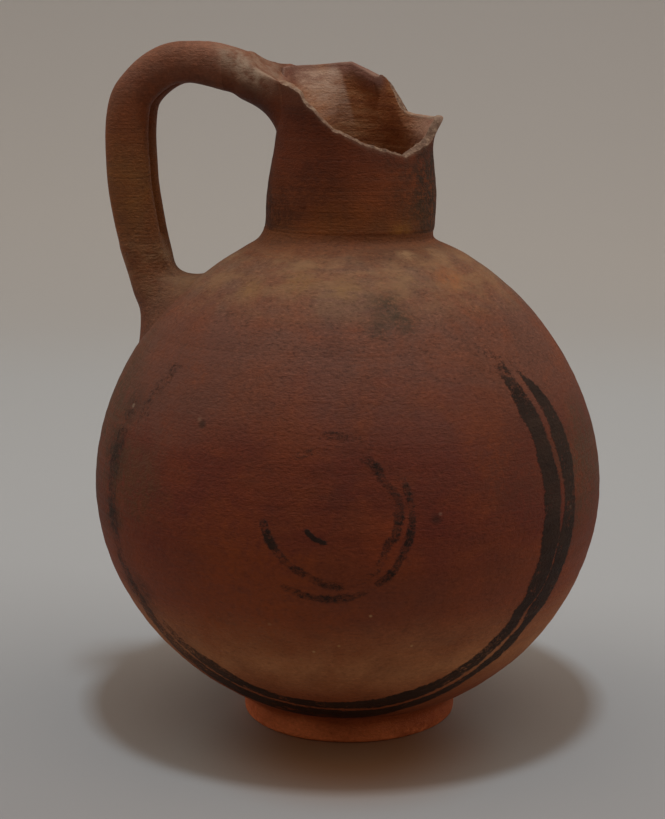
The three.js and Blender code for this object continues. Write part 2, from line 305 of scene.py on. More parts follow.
def hand_marks(tree, geometry, given, away):
    """Presses a surface in against its outward direction: turning ridges that run level
    round the pot, slow dents of the hand, and small pits where grit came out."""
    add = partial(node, tree)
    place = add("GeometryNodeInputPosition")
    sockets = {0: RIDGE_RUN, 1: RIDGE_RUN, 2: given["Ridge Pitch"]}
    stretch = add("ShaderNodeCombineXYZ", sockets)
    level = add("ShaderNodeVectorMath", {0: place, 1: stretch}, operation="DIVIDE")
    waves = []
    for vector, scale, detail, roughness in ((level, 1.0, 0.6, 0.5), (place, 26.0, 1.0, 0.4)):
        sockets = {"Vector": vector, "W": given["Seed"], "Scale": scale, "Detail": detail}
        sockets["Roughness"] = roughness
        waves.append(add("ShaderNodeTexNoise", sockets, noise_dimensions="4D"))
    ridge, dent = waves
    cell = add(
        "ShaderNodeTexVoronoi",
        {"Vector": place, "W": given["Seed"], "Scale": given["Pit Count"]},
        voronoi_dimensions="4D",
    )
    few = add("ShaderNodeMath", {0: cell.outputs["Color"], 1: PITLESS}, operation="GREATER_THAN")
    sockets = {"From Min": PIT_EDGE[0], "From Max": PIT_EDGE[1], "To Min": 1.0, "To Max": 0.0}
    hole = add("ShaderNodeMapRange", {"Value": cell, **sockets}, interpolation_type="SMOOTHSTEP")
    pit = add("ShaderNodeMath", {0: hole, 1: few}, operation="MULTIPLY")
    depth = add("ShaderNodeMath", {0: ridge, 1: given["Ridge Depth"]}, operation="MULTIPLY")
    # their mean depth is taken off again, so that the outline stays where it was
    lift = add(
        "ShaderNodeMath", {0: given["Ridge Depth"], 1: given["Dent Depth"]}, operation="ADD"
    )
    for mark, size in ((dent, given["Dent Depth"]), (pit, given["Pit Depth"]), (lift, -MEAN_MARK)):
        depth = add("ShaderNodeMath", {0: mark, 1: size, 2: depth}, operation="MULTIPLY_ADD")
    worked = add("GeometryNodeInputNamedAttribute", {"Name": "worked"}, data_type="FLOAT")
    for share in (worked, -1.0):
        depth = add("ShaderNodeMath", {0: depth, 1: share}, operation="MULTIPLY")
    move = add("ShaderNodeVectorMath", {0: away, "Scale": depth}, operation="SCALE")
    return add("GeometryNodeSetPosition", {"Geometry": geometry, "Offset": move})


def wheel_tree():
    """Turns an outline round the wheel's axis, then marks it as the potter's hand did.
    The outline's points carry which way is out and how far the hand worked there."""
    sizes = [("Facets", 360), ("Outline Points", 3)] + MARK_SIZES
    tree, given, add = new_tree("thrown on the wheel", sizes)
    rows = given["Outline Points"]
    columns = add("FunctionNodeIntegerMath", {0: given["Facets"], 1: 1})
    grid = add("GeometryNodeMeshGrid", {"Vertices X": columns, "Vertices Y": rows})
    row, column = row_and_column(add, rows)
    part = add("ShaderNodeMath", {0: column, 1: given["Facets"]}, operation="DIVIDE")
    angle = add("ShaderNodeMath", {0: part, 1: 2 * math.pi}, operation="MULTIPLY")
    worked = carried(add, given, row, "worked", "FLOAT")
    turned = []
    for title in (None, "away"):
        value = carried(add, given, row, title, "FLOAT_VECTOR")
        sockets = {"Vector": value, "Angle": angle}
        turned.append(add("ShaderNodeVectorRotate", sockets, rotation_type="Z_AXIS"))
    place, away = turned
    kept = grid
    for title, value, kind in (("worked", worked, "FLOAT"), ("away", away, "FLOAT_VECTOR")):
        kept = add(
            "GeometryNodeStoreNamedAttribute",
            {"Geometry": kept, "Name": title, "Value": value},
            data_type=kind,
        )
    placed = add("GeometryNodeSetPosition", {"Geometry": kept, "Position": place})
    closed = add("GeometryNodeMergeByDistance", {"Geometry": placed, "Distance": 1e-6})
    away = add("GeometryNodeInputNamedAttribute", {"Name": "away"}, data_type="FLOAT_VECTOR")
    return finish_tree(tree, hand_marks(tree, closed, given, away), given)


def row_and_column(add, length):
    """Which point of its line, and which line, each point of a grid belongs to."""
    index = add("GeometryNodeInputIndex")
    share = add("ShaderNodeMath", {0: index, 1: length}, operation="DIVIDE")
    line = add("ShaderNodeMath", {0: share}, operation="FLOOR")
    before = add("ShaderNodeMath", {0: line, 1: length}, operation="MULTIPLY")
    return add("ShaderNodeMath", {0: index, 1: before}, operation="SUBTRACT"), line


def carried(add, given, index, title, kind):
    """What the given mesh carries at a point: a named number, or its place."""
    if title is None:
        source = add("GeometryNodeInputPosition")
    else:
        source = add("GeometryNodeInputNamedAttribute", {"Name": title}, data_type=kind)
    sockets = {"Geometry": given["Geometry"], "Value": source, "Index": index}
    return add("GeometryNodeSampleIndex", sockets, data_type=kind)


def marks_tree():
    """Marks a finished form as the potter's hand did."""
    tree, given, add = new_tree("worked by hand", MARK_SIZES)
    marked = hand_marks(tree, given["Geometry"], given, add("GeometryNodeInputNormal"))
    return finish_tree(tree, marked, given)


def roll_tree():
    """Lays an oval roll of clay along a line whose points carry the section's reach
    across the arch and its half width along Y."""
    sizes = [("Section Points", 48), ("Line Points", 3), ("Squareness", 0.9)]
    tree, given, add = new_tree("roll of clay", sizes)
    across = add("FunctionNodeIntegerMath", {0: given["Section Points"], 1: 1})
    grid = add("GeometryNodeMeshGrid", {"Vertices X": given["Line Points"], "Vertices Y": across})
    step, row = row_and_column(add, across)
    part = add("ShaderNodeMath", {0: step, 1: given["Section Points"]}, operation="DIVIDE")
    angle = add("ShaderNodeMath", {0: part, 1: 2 * math.pi}, operation="MULTIPLY")
    waves = []
    for wave in ("COSINE", "SINE"):
        bare = add("ShaderNodeMath", {0: angle}, operation=wave)
        size = add("ShaderNodeMath", {0: bare}, operation="ABSOLUTE")
        size = add("ShaderNodeMath", {0: size, 1: given["Squareness"]}, operation="POWER")
        sign = add("ShaderNodeMath", {0: bare}, operation="SIGN")
        waves.append(add("ShaderNodeMath", {0: size, 1: sign}, operation="MULTIPLY"))
    middle = carried(add, given, row, None, "FLOAT_VECTOR")
    reach = carried(add, given, row, "reach", "FLOAT_VECTOR")
    width = carried(add, given, row, "width", "FLOAT")
    out = add("ShaderNodeVectorMath", {0: reach, "Scale": waves[0]}, operation="SCALE")
    sideways = add("ShaderNodeMath", {0: width, 1: waves[1]}, operation="MULTIPLY")
    side = add("ShaderNodeCombineXYZ", {1: sideways})
    edge = add("ShaderNodeVectorMath", {0: middle, 1: out}, operation="ADD")
    place = add("ShaderNodeVectorMath", {0: edge, 1: side}, operation="ADD")
    placed = add("GeometryNodeSetPosition", {"Geometry": grid, "Position": place})
    closed = add("GeometryNodeMergeByDistance", {"Geometry": placed, "Distance": 1e-6})
    return finish_tree(tree, closed, given)


def plain_mesh(name, points, faces=(), edges=(), numbers=None):
    """A mesh object from points in millimetres, with named numbers on its points."""
    mesh = bpy.data.meshes.new(name)
    mesh.from_pydata((np.asarray(points, float) * MM).tolist(), edges, faces)
    for title, values in (numbers or {}).items():
        values = np.asarray(values, np.float32)
        kind = "FLOAT" if values.ndim == 1 else "FLOAT_VECTOR"
        layer = mesh.attributes.new(title, kind, "POINT")
        layer.data.foreach_set("value" if kind == "FLOAT" else "vector", values.ravel())
    made = bpy.data.objects.new(name, mesh)
    bpy.context.scene.collection.objects.link(made)
    return made


SHARP_ANGLE = math.radians(48)


def baked(piece, tree=None, settings=None):
    """Runs a geometry tree, or the modifiers already there, and keeps the plain mesh."""
    if tree is not None:
        modifier = piece.modifiers.new(tree.name, "NODES")
        modifier.node_group = tree
        sockets = {
            item.name: item.identifier
            for item in tree.interface.items_tree
            if item.item_type == "SOCKET" and item.in_out == "INPUT"
        }
        for title, value in settings.items():
            modifier[sockets[title]] = value
    depsgraph = bpy.context.evaluated_depsgraph_get()
    depsgraph.update()
    mesh = bpy.data.meshes.new_from_object(piece.evaluated_get(depsgraph))
    piece.modifiers.clear()
    old = piece.data
    piece.data = mesh
    mesh.name = piece.name
    bpy.data.meshes.remove(old)
    face_out(mesh)
    mesh.set_sharp_from_angle(angle=SHARP_ANGLE)
    return piece


def coordinates(mesh):
    flat = np.zeros(len(mesh.vertices) * 3, np.float32)
    mesh.vertices.foreach_get("co", flat)
    return flat.reshape(-1, 3).astype(float)


def set_coordinates(mesh, points):
    mesh.vertices.foreach_set("co", np.asarray(points, np.float32).ravel())
    mesh.update()


def face_out(mesh):
    """Turns a closed mesh's faces outward, going by the sign of its volume."""
    mesh.calc_loop_triangles()
    corners = np.zeros(len(mesh.loop_triangles) * 3, np.int32)
    mesh.loop_triangles.foreach_get("vertices", corners)
    a, b, c = coordinates(mesh)[corners.reshape(-1, 3)].transpose(1, 0, 2)
    if np.einsum("ij,ij->i", a, np.cross(b, c)).sum() < 0:
        mesh.flip_normals()


WHEEL, MARKS, ROLL = wheel_tree(), marks_tree(), roll_tree()


def near_noise(points, size, seed):
    """Smooth noise of about -1 to 1 at points in millimetres, for features of a size."""
    moved = np.asarray(points, float) / size + [7.3 * seed, -3.1 * seed, 0]
    return np.array([noise.noise(Vector(p)) for p in moved])


def smoothstep(low, high, value):
    """0 to 1 between two values, eased at both; it falls where the first is the higher."""
    part = np.clip((np.asarray(value, float) - low) / (high - low), 0, 1)
    return part * part * (3 - 2 * part)


# Thrown pieces

MARKS_OF_WHEEL = {
    "Ridge Pitch": 0.0032,
    "Ridge Depth": 0.00034,
    "Dent Depth": 0.0007,
    "Pit Count": 105.0,
    "Pit Depth": 0.00045,
    "Seed": 3.0,
}


def thrown(name, parts, clay, facets=384):
    """Turns a closed outline, given as parts (points, how far the hand worked there). The
    outline runs so that its solid side lies on the left."""
    points, worked, away = [], [], []
    for line, share in parts:
        line = np.asarray(line, float)
        along = np.gradient(line, axis=0)
        along /= np.linalg.norm(along, axis=1)[:, None] + 1e-12
        skip = 1 if points and np.allclose(points[-1][-1], line[0]) else 0
        points.append(line[skip:])
        worked.append(np.full(len(line) - skip, share, float))
        away.append(np.column_stack([along[:, 1], 0 * along[:, 0], -along[:, 0]])[skip:])
    points, worked, away = (np.concatenate(values) for values in (points, worked, away))
    if np.allclose(points[0], points[-1]):
        worked[-1], away[-1] = worked[0], away[0]
    piece = plain_mesh(
        name,
        np.column_stack([points[:, 0], 0 * points[:, 0], points[:, 1]]),
        numbers={"worked": worked, "away": away},
    )
    settings = {"Facets": facets, "Outline Points": len(points), "Clay": clay}
    return baked(piece, WHEEL, {**MARKS_OF_WHEEL, **settings})


def seam_dip(line):
    """The level line left where the closed shoulder was joined to the bowl."""
    line = line.copy()
    line[:, 0] -= 0.16 * np.exp(-(((line[:, 1] - SEAM_HEIGHT) / 1.3) ** 2))
    return line


def body_bowl(clay):
    """The lower and wider part of the globe, with its floor."""
    under = [[0, 0.7], [14, 0.5], [24, 0.1], [FOOT_SEAT_RADIUS, 0]]
    under = evenly([[radius, FOOT_HEIGHT + rise] for radius, rise in under], 1.6)
    outside = seam_dip(globe_line(FOOT_HEIGHT, SEAM_HEIGHT, 0, 1.0))
    inside = globe_line(FLOOR_HEIGHT + 2.5, SEAM_HEIGHT, BODY_WALL, 3.4)[::-1]
    seam = [outside[-1], inside[0]]
    corner = inside[-1][0]
    floor = [inside[-1], [corner * 0.92, FLOOR_HEIGHT + 0.4], [corner * 0.8, FLOOR_HEIGHT]]
    floor += [[16, FLOOR_HEIGHT], [0, FLOOR_HEIGHT]]
    parts = [(under, 1), (outside, 1), (seam, 0), (inside, 0), (floor, 0)]
    return thrown("body_bowl", parts, clay)


def body_shoulder(clay):
    """The part that closes the globe up to the neck's opening."""
    outside = seam_dip(globe_line(SEAM_HEIGHT, SHOULDER_TOP, 0, 0.9))
    opening = NECK_RADIUS - NECK_WALL
    seat = [outside[-1], [opening, SHOULDER_TOP]]
    inside_top = globe_height(31, True, BODY_WALL)
    inside = globe_line(SEAM_HEIGHT, inside_top, BODY_WALL, 3)[::-1]
    hole = [seat[-1], [opening, SHOULDER_TOP - 3.78], inside[0]]
    seam = [inside[-1], outside[0]]
    parts = [(outside, 1), (seat, 0), (hole, 0), (inside, 0), (seam, 0)]
    return thrown("body_shoulder", parts, clay)


def foot_ring(clay):
    """A turned ring whose lip runs out on the globe."""
    lip = 36.9
    outside = [
        [33.4, 0], [34.3, 0.05], [34.9, 0.35], [35.22, 1.0], [35.36, 2.0], [35.38, 3.2],
        [35.3, 4.4], [35.2, 5.4], [35.25, 6.3], [35.5, 7.1], [36.0, 7.85],
        [lip, globe_height(lip, False) + 0.12],
    ]
    inside = [
        [27.2, 7.4], [27.05, 6.2], [27.3, 4.2], [27.9, 2.2], [28.7, 0.7], [29.6, 0.08],
        [30.2, 0],
    ]
    hidden = [outside[-1], [33.5, 8.6], [30, 7.6], inside[0]]
    under = [inside[-1], outside[0]]
    parts = [(evenly(outside, 0.45), 0.8), (hidden, 0), (evenly(inside, 0.6), 0.6)]
    return thrown("foot_ring", parts + [(evenly(under, 0.7), 0)], clay, facets=300)


def curve4(a, b, c, d, count):
    """A Bezier line through four control points."""
    t = np.linspace(0, 1, count)[:, None]
    a, b, c, d = (np.asarray(v, float) for v in (a, b, c, d))
    return a * (1 - t) ** 3 + 3 * b * t * (1 - t) ** 2 + 3 * c * t**2 * (1 - t) + d * t**3


def luting_coil(clay):
    """A hollow curve of clay from the shoulder up to the neck."""
    foot = 32.4
    foot_height = globe_height(foot, True)
    slope = (foot_height - globe_height(foot - 0.5, True)) / 0.5
    start = [foot, foot_height - 0.02]
    bend = [foot - 3.0, start[1] - 3.0 * slope]
    outside = curve4(start, bend, [NECK_RADIUS + 0.15, 157.9], [NECK_RADIUS - 0.03, 161.6], 26)
    under_neck = NECK_RADIUS - 0.8
    hidden = [outside[-1], [under_neck, 161.0], [under_neck, 155.9], [foot, start[1] - 0.7], start]
    return thrown("neck_luting_coil", [(outside, 1), (hidden, 0)], clay)


# Neck and mouth

MOUTH_COLUMNS = 440
# Zones of the wall, and how far the hand worked each
OUTSIDE, EDGE, INSIDE = 0, 1, 2
WORKED = (1.0, 0.1, 0.6)
# Rows of points up the outside, over the edge and down the inside
OUTSIDE_ROWS, EDGE_ROWS, INSIDE_ROWS = 92, 15, 66
# How far the edge is rounded off where it is broken and where it is sound
BROKEN_BEVEL, SOUND_BEVEL = 0.18, 1.0
# Bearings in shares of a turn from the spout: minus on the near side, plus on the far one
NEAR_BREAK = (-0.4, 0.006)
FAR_BREAK = (0.118, 0.197)
FOLDED_LOBE = (0.19, 0.298)
LUG_BEARING = (0.42, 0.455), (0.455, 0.485)
# Thickness of the wall's edge by bearing, and how far under the edge the thinning starts
EDGES = np.array(
    [
        [-0.5, 1.0, 14], [-0.45, 1.1, 12], [-0.405, 2.6, 8], [-0.36, 2.8, 7], [-0.33, 1.5, 7],
        [-0.13, 1.2, 8], [-0.105, 1.9, 6], [-0.05, 2.6, 6], [0, 3.0, 6], [0.03, 2.2, 6],
        [0.1, 2.4, 5], [0.13, 3.4, 4], [0.185, 3.4, 3], [0.2, 2.4, 3], [0.29, 2.6, 3],
        [0.306, 0.9, 17], [0.43, 0.9, 20], [0.5, 1.0, 16],
    ]
)
FOLD_DEPTH, FOLD_REACH = 9.0, 3.4
RIM_DIP = 4.5


def wall_depth(bearing, below):
    """How far the mouth's inner face lies in from its outer one, at a depth under the rim."""
    wall = np.interp(bearing, EDGES[:, 0], EDGES[:, 1])
    thinning = np.interp(bearing, EDGES[:, 0], EDGES[:, 2])
    inward = NECK_WALL + (wall - NECK_WALL) * (1 - below / thinning).clip(0, 1) ** 1.25
    fold_start, fold_end = FOLDED_LOBE
    folded = smoothstep(fold_start, fold_start + 0.02, bearing)
    folded = folded * np.clip((fold_end - bearing) / 0.03, 0, 1)
    inward += folded * FOLD_REACH * (1 - below / FOLD_DEPTH).clip(0, 1) ** 1.3
    narrowed = smoothstep(0.295, 0.34, bearing) * (1 - smoothstep(0.44, 0.49, bearing))
    return inward + narrowed * 1.8 * np.exp(-(((below - 22) / 8) ** 2))


def rim_height(bearing):
    """The rim's height, dipping where the lug covers it."""
    near, far = smoothstep(*LUG_BEARING[0], -bearing), smoothstep(*LUG_BEARING[1], bearing)
    dip = RIM_DIP * np.where(bearing < 0, near, far)
    return SHOULDER_TOP + NECK_LENGTH * np.interp(bearing, RIM[:, 0], RIM[:, 1]) - dip


def mouth_wear(zone, bearing, depth, broken):
    """Named numbers of the mouth's wear, and of a patch of painted light, in one row of points, by
    depth under the rim.
    """
    far_lip = smoothstep(0.16, 0.2, bearing) * smoothstep(0.36, 0.3, bearing)
    back_lip = smoothstep(0.3, 0.36, bearing)
    tinted = np.maximum(far_lip * smoothstep(8, 2, depth), back_lip * smoothstep(11, 3, depth))
    spout = smoothstep(0.13, 0.04, np.abs(bearing)) * smoothstep(20, 8, depth)
    # the rubbed place in the mouth is also painted light: its slanting edge follows the edge of
    # the shadow that the folded lobe casts inside the mouth
    start = 0.3 - 0.0019 * depth.clip(0, 20)
    rubbed_and_lit_left = smoothstep(-0.004, 0.006, bearing - start) * smoothstep(0.43, 0.37, bearing)
    rubbed_and_lit_left = rubbed_and_lit_left * smoothstep(26, 6, depth) * smoothstep(0, 3, depth)
    in_spout = smoothstep(0.16, 0.02, np.abs(bearing - 0.01)) * smoothstep(18, 3, depth)
    split = broken * (0.4 + 0.6 * smoothstep(-0.34, -0.2, bearing))
    return {
        "fracture": split * (zone == EDGE),
        "rubbed": np.maximum(rubbed_and_lit_left * 0.85, in_spout * 0.35) * (zone != OUTSIDE),
        "lipped": np.maximum(tinted * 0.8, 0.6 * spout) * (zone != OUTSIDE),
    }


def neck_and_mouth(clay):
    """The pinched neck as one closed wall: up the outside, over the edge, down the inside."""
    bearing = np.arange(MOUTH_COLUMNS) / MOUTH_COLUMNS - 0.5
    turned = bearing * 2 * math.pi
    ring = np.column_stack([np.cos(turned), np.sin(turned), 0 * turned])
    rim = rim_height(bearing)
    rim = (np.roll(rim, 1) + 2 * rim + np.roll(rim, -1)) / 4
    drop = NECK_LENGTH * np.interp(bearing, RIM[:, 0], RIM[:, 2])
    broken = np.zeros(MOUTH_COLUMNS)
    for low, high in (NEAR_BREAK, FAR_BREAK):
        begun = smoothstep(low - 0.012, low + 0.004, bearing)
        ended = smoothstep(high - 0.004, high + 0.008, bearing)
        broken = np.maximum(broken, begun * (1 - ended))
    at_rim = ring * NECK_RADIUS
    ragged = 0.34 * near_noise(at_rim, 2.6, 1) + 0.2 * near_noise(at_rim, 1.1, 2)
    rim = rim + broken * ragged
    rim += (1 - broken) * 0.25 * near_noise(at_rim, 9, 4)
    thinning = np.interp(bearing, EDGES[:, 0], EDGES[:, 2])
    # rows of points: share of the height, share of the way across the edge, and the zone
    up = 1 - (1 - np.linspace(0, 1, OUTSIDE_ROWS)) ** 1.15
    down = 1 - (1 - np.linspace(0, 1, INSIDE_ROWS)) ** 1.25
    rows = [(share, 0.0, OUTSIDE) for share in up]
    rows += [(1.0, across, EDGE) for across in np.linspace(0, 1, EDGE_ROWS)[1:-1]]
    rows += [(share, 1.0, INSIDE) for share in down[::-1]]
    outer_edge = rim - drop
    bevel = np.where(broken > 0.5, BROKEN_BEVEL, SOUND_BEVEL)
    points = []
    numbers = {title: [] for title in ("worked", "fracture", "worn", "inner", "rubbed", "lipped")}
    for share, across, zone in rows:
        if zone == OUTSIDE:
            height = SHOULDER_TOP + (outer_edge - bevel - SHOULDER_TOP) * share
            inward = 0 * height
        elif zone == INSIDE:
            height = SHOULDER_TOP + (rim - bevel - SHOULDER_TOP) * share
            inward = wall_depth(bearing, rim - height)
        else:
            arc = np.sin(math.pi * across) ** 0.62
            height = outer_edge - bevel + (rim - outer_edge) * across + bevel * arc
            round_across = 0.5 - 0.5 * math.cos(math.pi * across)
            inward = np.where(broken > 0.5, across, round_across) * wall_depth(bearing, bevel)
        radius = neck_line(bearing, height) - inward
        place = ring * radius[:, None]
        place[:, 2] = height
        if zone == EDGE:
            rough = 0.34 * near_noise(place, 1.5, 5)
            rough += 0.4 * near_noise(place * [1, 1, 3], 3.2, 6)
            place[:, 2] += broken * rough * math.sin(math.pi * across) ** 0.5
        points.append(place)
        depth = rim - height
        hand = 0.0 if share < 0.001 else WORKED[zone]
        sound = 0.15 + 0.85 * smoothstep(0, 1, depth / thinning)
        under_edge = ((outer_edge if zone == OUTSIDE else rim) - height).clip(0)
        pale = np.exp(-((under_edge / 0.9) ** 2))
        pale = pale * np.where(bearing > 0.11, 0.25, 1 - 0.7 * broken)
        wear = {
            "worked": hand * sound * np.where(zone == EDGE, 1 - broken, 1),
            "worn": np.where(bearing > 0.2, 0.3, 1.0) if zone == EDGE else pale,
            "inner": np.full(MOUTH_COLUMNS, across),
            **mouth_wear(zone, bearing, depth, broken),
        }
        for title, values in wear.items():
            numbers[title].append(values)
    faces = []
    for r in range(len(rows)):
        this, above = r * MOUTH_COLUMNS, (r + 1) % len(rows) * MOUTH_COLUMNS
        for c in range(MOUTH_COLUMNS):
            d = (c + 1) % MOUTH_COLUMNS
            faces.append((this + c, this + d, above + d, above + c))
    numbers = {title: np.concatenate(values) for title, values in numbers.items()}
    piece = plain_mesh("neck_and_mouth", np.concatenate(points), faces, numbers=numbers)
    face_out(piece.data)
    return baked(piece, MARKS, {**MARKS_OF_WHEEL, "Clay": clay})


# Handle

# Points of the handle's middle line: shares of its bow and of its rise, up the leg from the
# root, then over the arch to the lug
LEG = [
    [0.432, 0.221], [0.634, 0.316], [0.785, 0.415], [0.906, 0.513], [0.96, 0.611], [0.975, 0.709],
    [0.93, 0.784], [0.785, 0.861], [0.42, 0.919],
]
ARCH = [[0.203, 0.629], [0.31, 0.926], [0.438, 1], [0.561, 0.914], [0.668, 0.754]]
# How the rolls thicken along the middle line
THICKER = [
    (0, 1.05), (0.07, 1.058), (0.15, 1.075), (0.25, 1.09), (0.35, 1.105), (0.47, 1.095),
    (0.55, 1.07), (0.64, 1), (0.8, 1), (1, 1.06),
]
# Rings of the root and of the lug: outer point, inner point and half width
ROOT_RINGS = [
    [-0.725, 0.42, 0.28, 0.64, 0.785],
    [-0.48, -0.481, 0.61, -0.12, 0.8],
    [-0.355, -0.872, 0.79, -0.293, 0.86],
    [-0.195, -1.248, 1.06, -0.451, 0.94],
    [-0.145, -1.632, 1.38, -0.526, 1.02],
    [-0.065, -2.158, 1.68, -0.842, 1.08],
    [0.25, -2.647, 1.94, -1.331, 1.08],
]
LUG_RINGS = [
    [-0.707, 0.91, -0.94, -0.195, 0.8],
    [-0.406, 0.827, -0.534, -0.406, 0.84],
    [-0.165, 0.744, -0.233, -0.632, 0.9],
    [0.038, 0.647, 0.023, -0.902, 0.93],
    [0.188, 0.549, 0.173, -0.977, 0.88],
    [0.62, 0.05, 0.6, -1.0, 0.8],
]
# The lug's near crest and its top, worn pale
LUG_CREST = [[-37, -7.5, 215.5], [-31, -10.2, 211.6], [-27, -11, 209.8], [-23.5, -10.5, 208.2]]
LUG_TOP = [[-37, -1, 217.5], [-32, -1, 214.5], [-26, -1, 211.5]]
PAIR_WIDTH = ROLL_WIDTH - 0.02
ROLL_OVERLAP = 0.35
SKIN_STEP = 0.6
MARKS_OF_HAND = {
    "Ridge Pitch": 0.02,
    "Ridge Depth": 0.0002,
    "Dent Depth": 0.0012,
    "Pit Count": 110.0,
    "Pit Depth": 0.0004,
    "Seed": 8.0,
}


def through(points, count):
    """A centripetal curve through points, as evenly spaced points."""
    points = np.asarray(points, float)
    ends = [2 * points[0] - points[1], *points, 2 * points[-1] - points[-2]]
    line = []
    for i in range(len(points) - 1):
        a, b, c, d = ends[i : i + 4]
        gaps = [max(np.linalg.norm(q - p), 1e-9) ** 0.5 for p, q in ((a, b), (b, c), (c, d))]
        knots = np.cumsum([0, *gaps])
        t = np.linspace(knots[1], knots[2], 60, endpoint=i == len(points) - 2)[:, None]

        def mix(p, q, u, v):
            return (p * (knots[v] - t) + q * (t - knots[u])) / (knots[v] - knots[u])

        ab, bc, cd = mix(a, b, 0, 1), mix(b, c, 1, 2), mix(c, d, 2, 3)
        line.append(mix(mix(ab, bc, 0, 2), mix(bc, cd, 1, 3), 1, 2))
    return spaced(np.concatenate(line), count)


def handle_line(count):
    """The handle's middle line, from the root to the lug, with the way out of the arch."""
    root_height = BELLY_HEIGHT + (SHOULDER_TOP - BELLY_HEIGHT) * ROOT_SHARE
    root_x = -float(globe_radius(root_height))
    arch_height = JUG_HEIGHT - ROLL_THICKNESS / 2
    lug_height = NECK_TOP - LUG_DROP
    neck_x = -float(neck_line(0.5, lug_height))
    far_x = root_x - HANDLE_BOW
    root_rise, lug_rise = arch_height - root_height, arch_height - lug_height
    points = [[root_x - HANDLE_BOW * u, 0, root_height + root_rise * v] for u, v in LEG]
    points += [[far_x + (neck_x - far_x) * u, 0, lug_height + lug_rise * v] for u, v in ARCH]
    line = through(points, count)
    ahead = np.gradient(line, axis=0)
    ahead /= np.linalg.norm(ahead, axis=1)[:, None]
    out = np.column_stack([-ahead[:, 2], 0 * ahead[:, 0], ahead[:, 0]])
    return line, ahead, out, np.array([neck_x, 0, lug_height])


def rolled_line(name, middle, reach, width, clay, squareness):
    """One roll of clay, closed by a round end past each end of its line."""
    ends = []
    for a, b in ((middle[0], middle[1]), (middle[-1], middle[-2])):
        ends.append(a + (a - b) / np.linalg.norm(a - b) * 1.2)
    middle = np.vstack([ends[0], middle, ends[1]])
    reach = np.vstack([0 * reach[0], reach, 0 * reach[0]])
    width = np.concatenate([[0], width, [0]])
    piece = plain_mesh(name, middle, numbers={"reach": reach * MM, "width": width * MM})
    sizes = {"Section Points": 64, "Line Points": len(middle), "Squareness": squareness}
    return baked(piece, ROLL, {**sizes, "Clay": clay})


HOLLOW_BOTTOM, HOLLOW_TOP = 188, 226
# How far the hollow reaches into the wall, and how far less under the lug
INTO_WALL, LUTED_DEPTH = 0.8, 1.25


def mouth_hollow():
    """The space inside the mouth, a little smaller where the lug is luted to its wall."""
    columns, heights = 144, np.arange(HOLLOW_BOTTOM, HOLLOW_TOP, 0.8)
    bearing = np.arange(columns) / columns - 0.5
    turned = bearing * 2 * math.pi
    points = []
    for height in np.repeat(heights[:, None], columns, axis=1):
        luted = smoothstep(0.4, 0.44, np.abs(bearing)) * smoothstep(196, 203, height)
        inward = wall_depth(bearing, rim_height(bearing) - height)
        radius = neck_line(bearing, height) - inward + INTO_WALL - LUTED_DEPTH * luted
        ring = [radius * np.cos(turned), radius * np.sin(turned), height]
        points += np.column_stack(ring).tolist()
    last = len(points) - columns
    faces = [tuple(range(columns))[::-1], tuple(range(last, last + columns))]
    for start in range(0, last, columns):
        for c in range(columns):
            d = (c + 1) % columns
            faces.append((start + c, start + d, start + columns + d, start + columns + c))
    hollow = plain_mesh("mouth hollow", points, faces)
    face_out(hollow.data)
    return hollow


def pressed_end(name, line, out, half, at, rings, clay):
    """The root or the lug: a form through rings (outer and inner point, half width), given
    in roll thicknesses from a place on the wall, that starts inside the two rolls."""
    hidden = out * half * 0.62
    first = [*(line + hidden)[[0, 2]], *(line - hidden)[[0, 2]], PAIR_WIDTH * 0.72]
    table = [first] + [[*at, *at, 0] + ROLL_THICKNESS * np.array(ring) for ring in rings]
    table = through(table, 40)
    outer = np.column_stack([table[:, 0], 0 * table[:, 0], table[:, 1]])
    inner = np.column_stack([table[:, 2], 0 * table[:, 0], table[:, 3]])
    return rolled_line(name, (outer + inner) / 2, (outer - inner) / 2, table[:, 4], clay, 0.9)


def handle_mass(clay):
    """The two rolls, the mass on the shoulder and the lug on the rim, run together."""
    line, ahead, out, back = handle_line(150)
    half = ROLL_THICKNESS / 2 * np.interp(np.linspace(0, 1, len(line)), *zip(*THICKER))
    # past the middle line's ends the rolls thin out inside the root and the lug
    steps, parts = [4, 8, 12], [0.97, 0.88, 0.72]
    before = [line[0] - ahead[0] * s for s in steps[::-1]]
    after = [line[-1] + ahead[-1] * s for s in steps]
    longer = np.vstack([before, line, after])
    thin = np.array(parts[::-1] + [1.0] * len(line) + parts)
    reach = np.vstack([[out[0] * half[0]] * 3, out * half[:, None], [out[-1] * half[-1]] * 3])
    reach = reach * thin[:, None]
    forms = []
    for side, name in ((-1, "near"), (1, "far")):
        middle = longer + np.outer(thin, [0, side * (ROLL_WIDTH / 2 - ROLL_OVERLAP), 0])
        width = (ROLL_WIDTH / 2 + ROLL_OVERLAP) * thin
        forms.append(rolled_line(name, middle, reach, width, clay, 0.92))
    for name, end, at, rings in (("root", 0, line[0], ROOT_RINGS), ("lug", -1, back, LUG_RINGS)):
        place = at[[0, 2]]
        forms.append(pressed_end(name, line[end], out[end], half[end], place, rings, clay))
    # the lug ends flush with the mouth's inner face
    hollow = mouth_hollow()
    trim = forms[-1].modifiers.new("mouth kept open", "BOOLEAN")
    trim.operation, trim.solver, trim.object = "DIFFERENCE", "EXACT", hollow
    baked(forms[-1])
    bpy.data.objects.remove(hollow)
    whole = join_meshes("handle_mass", forms)
    remesh = whole.modifiers.new("fused", "REMESH")
    remesh.mode = "VOXEL"
    remesh.voxel_size = SKIN_STEP * MM
    remesh.use_smooth_shade = True
    baked(whole)
    keep_largest(whole.data)
    return whole, line, ahead


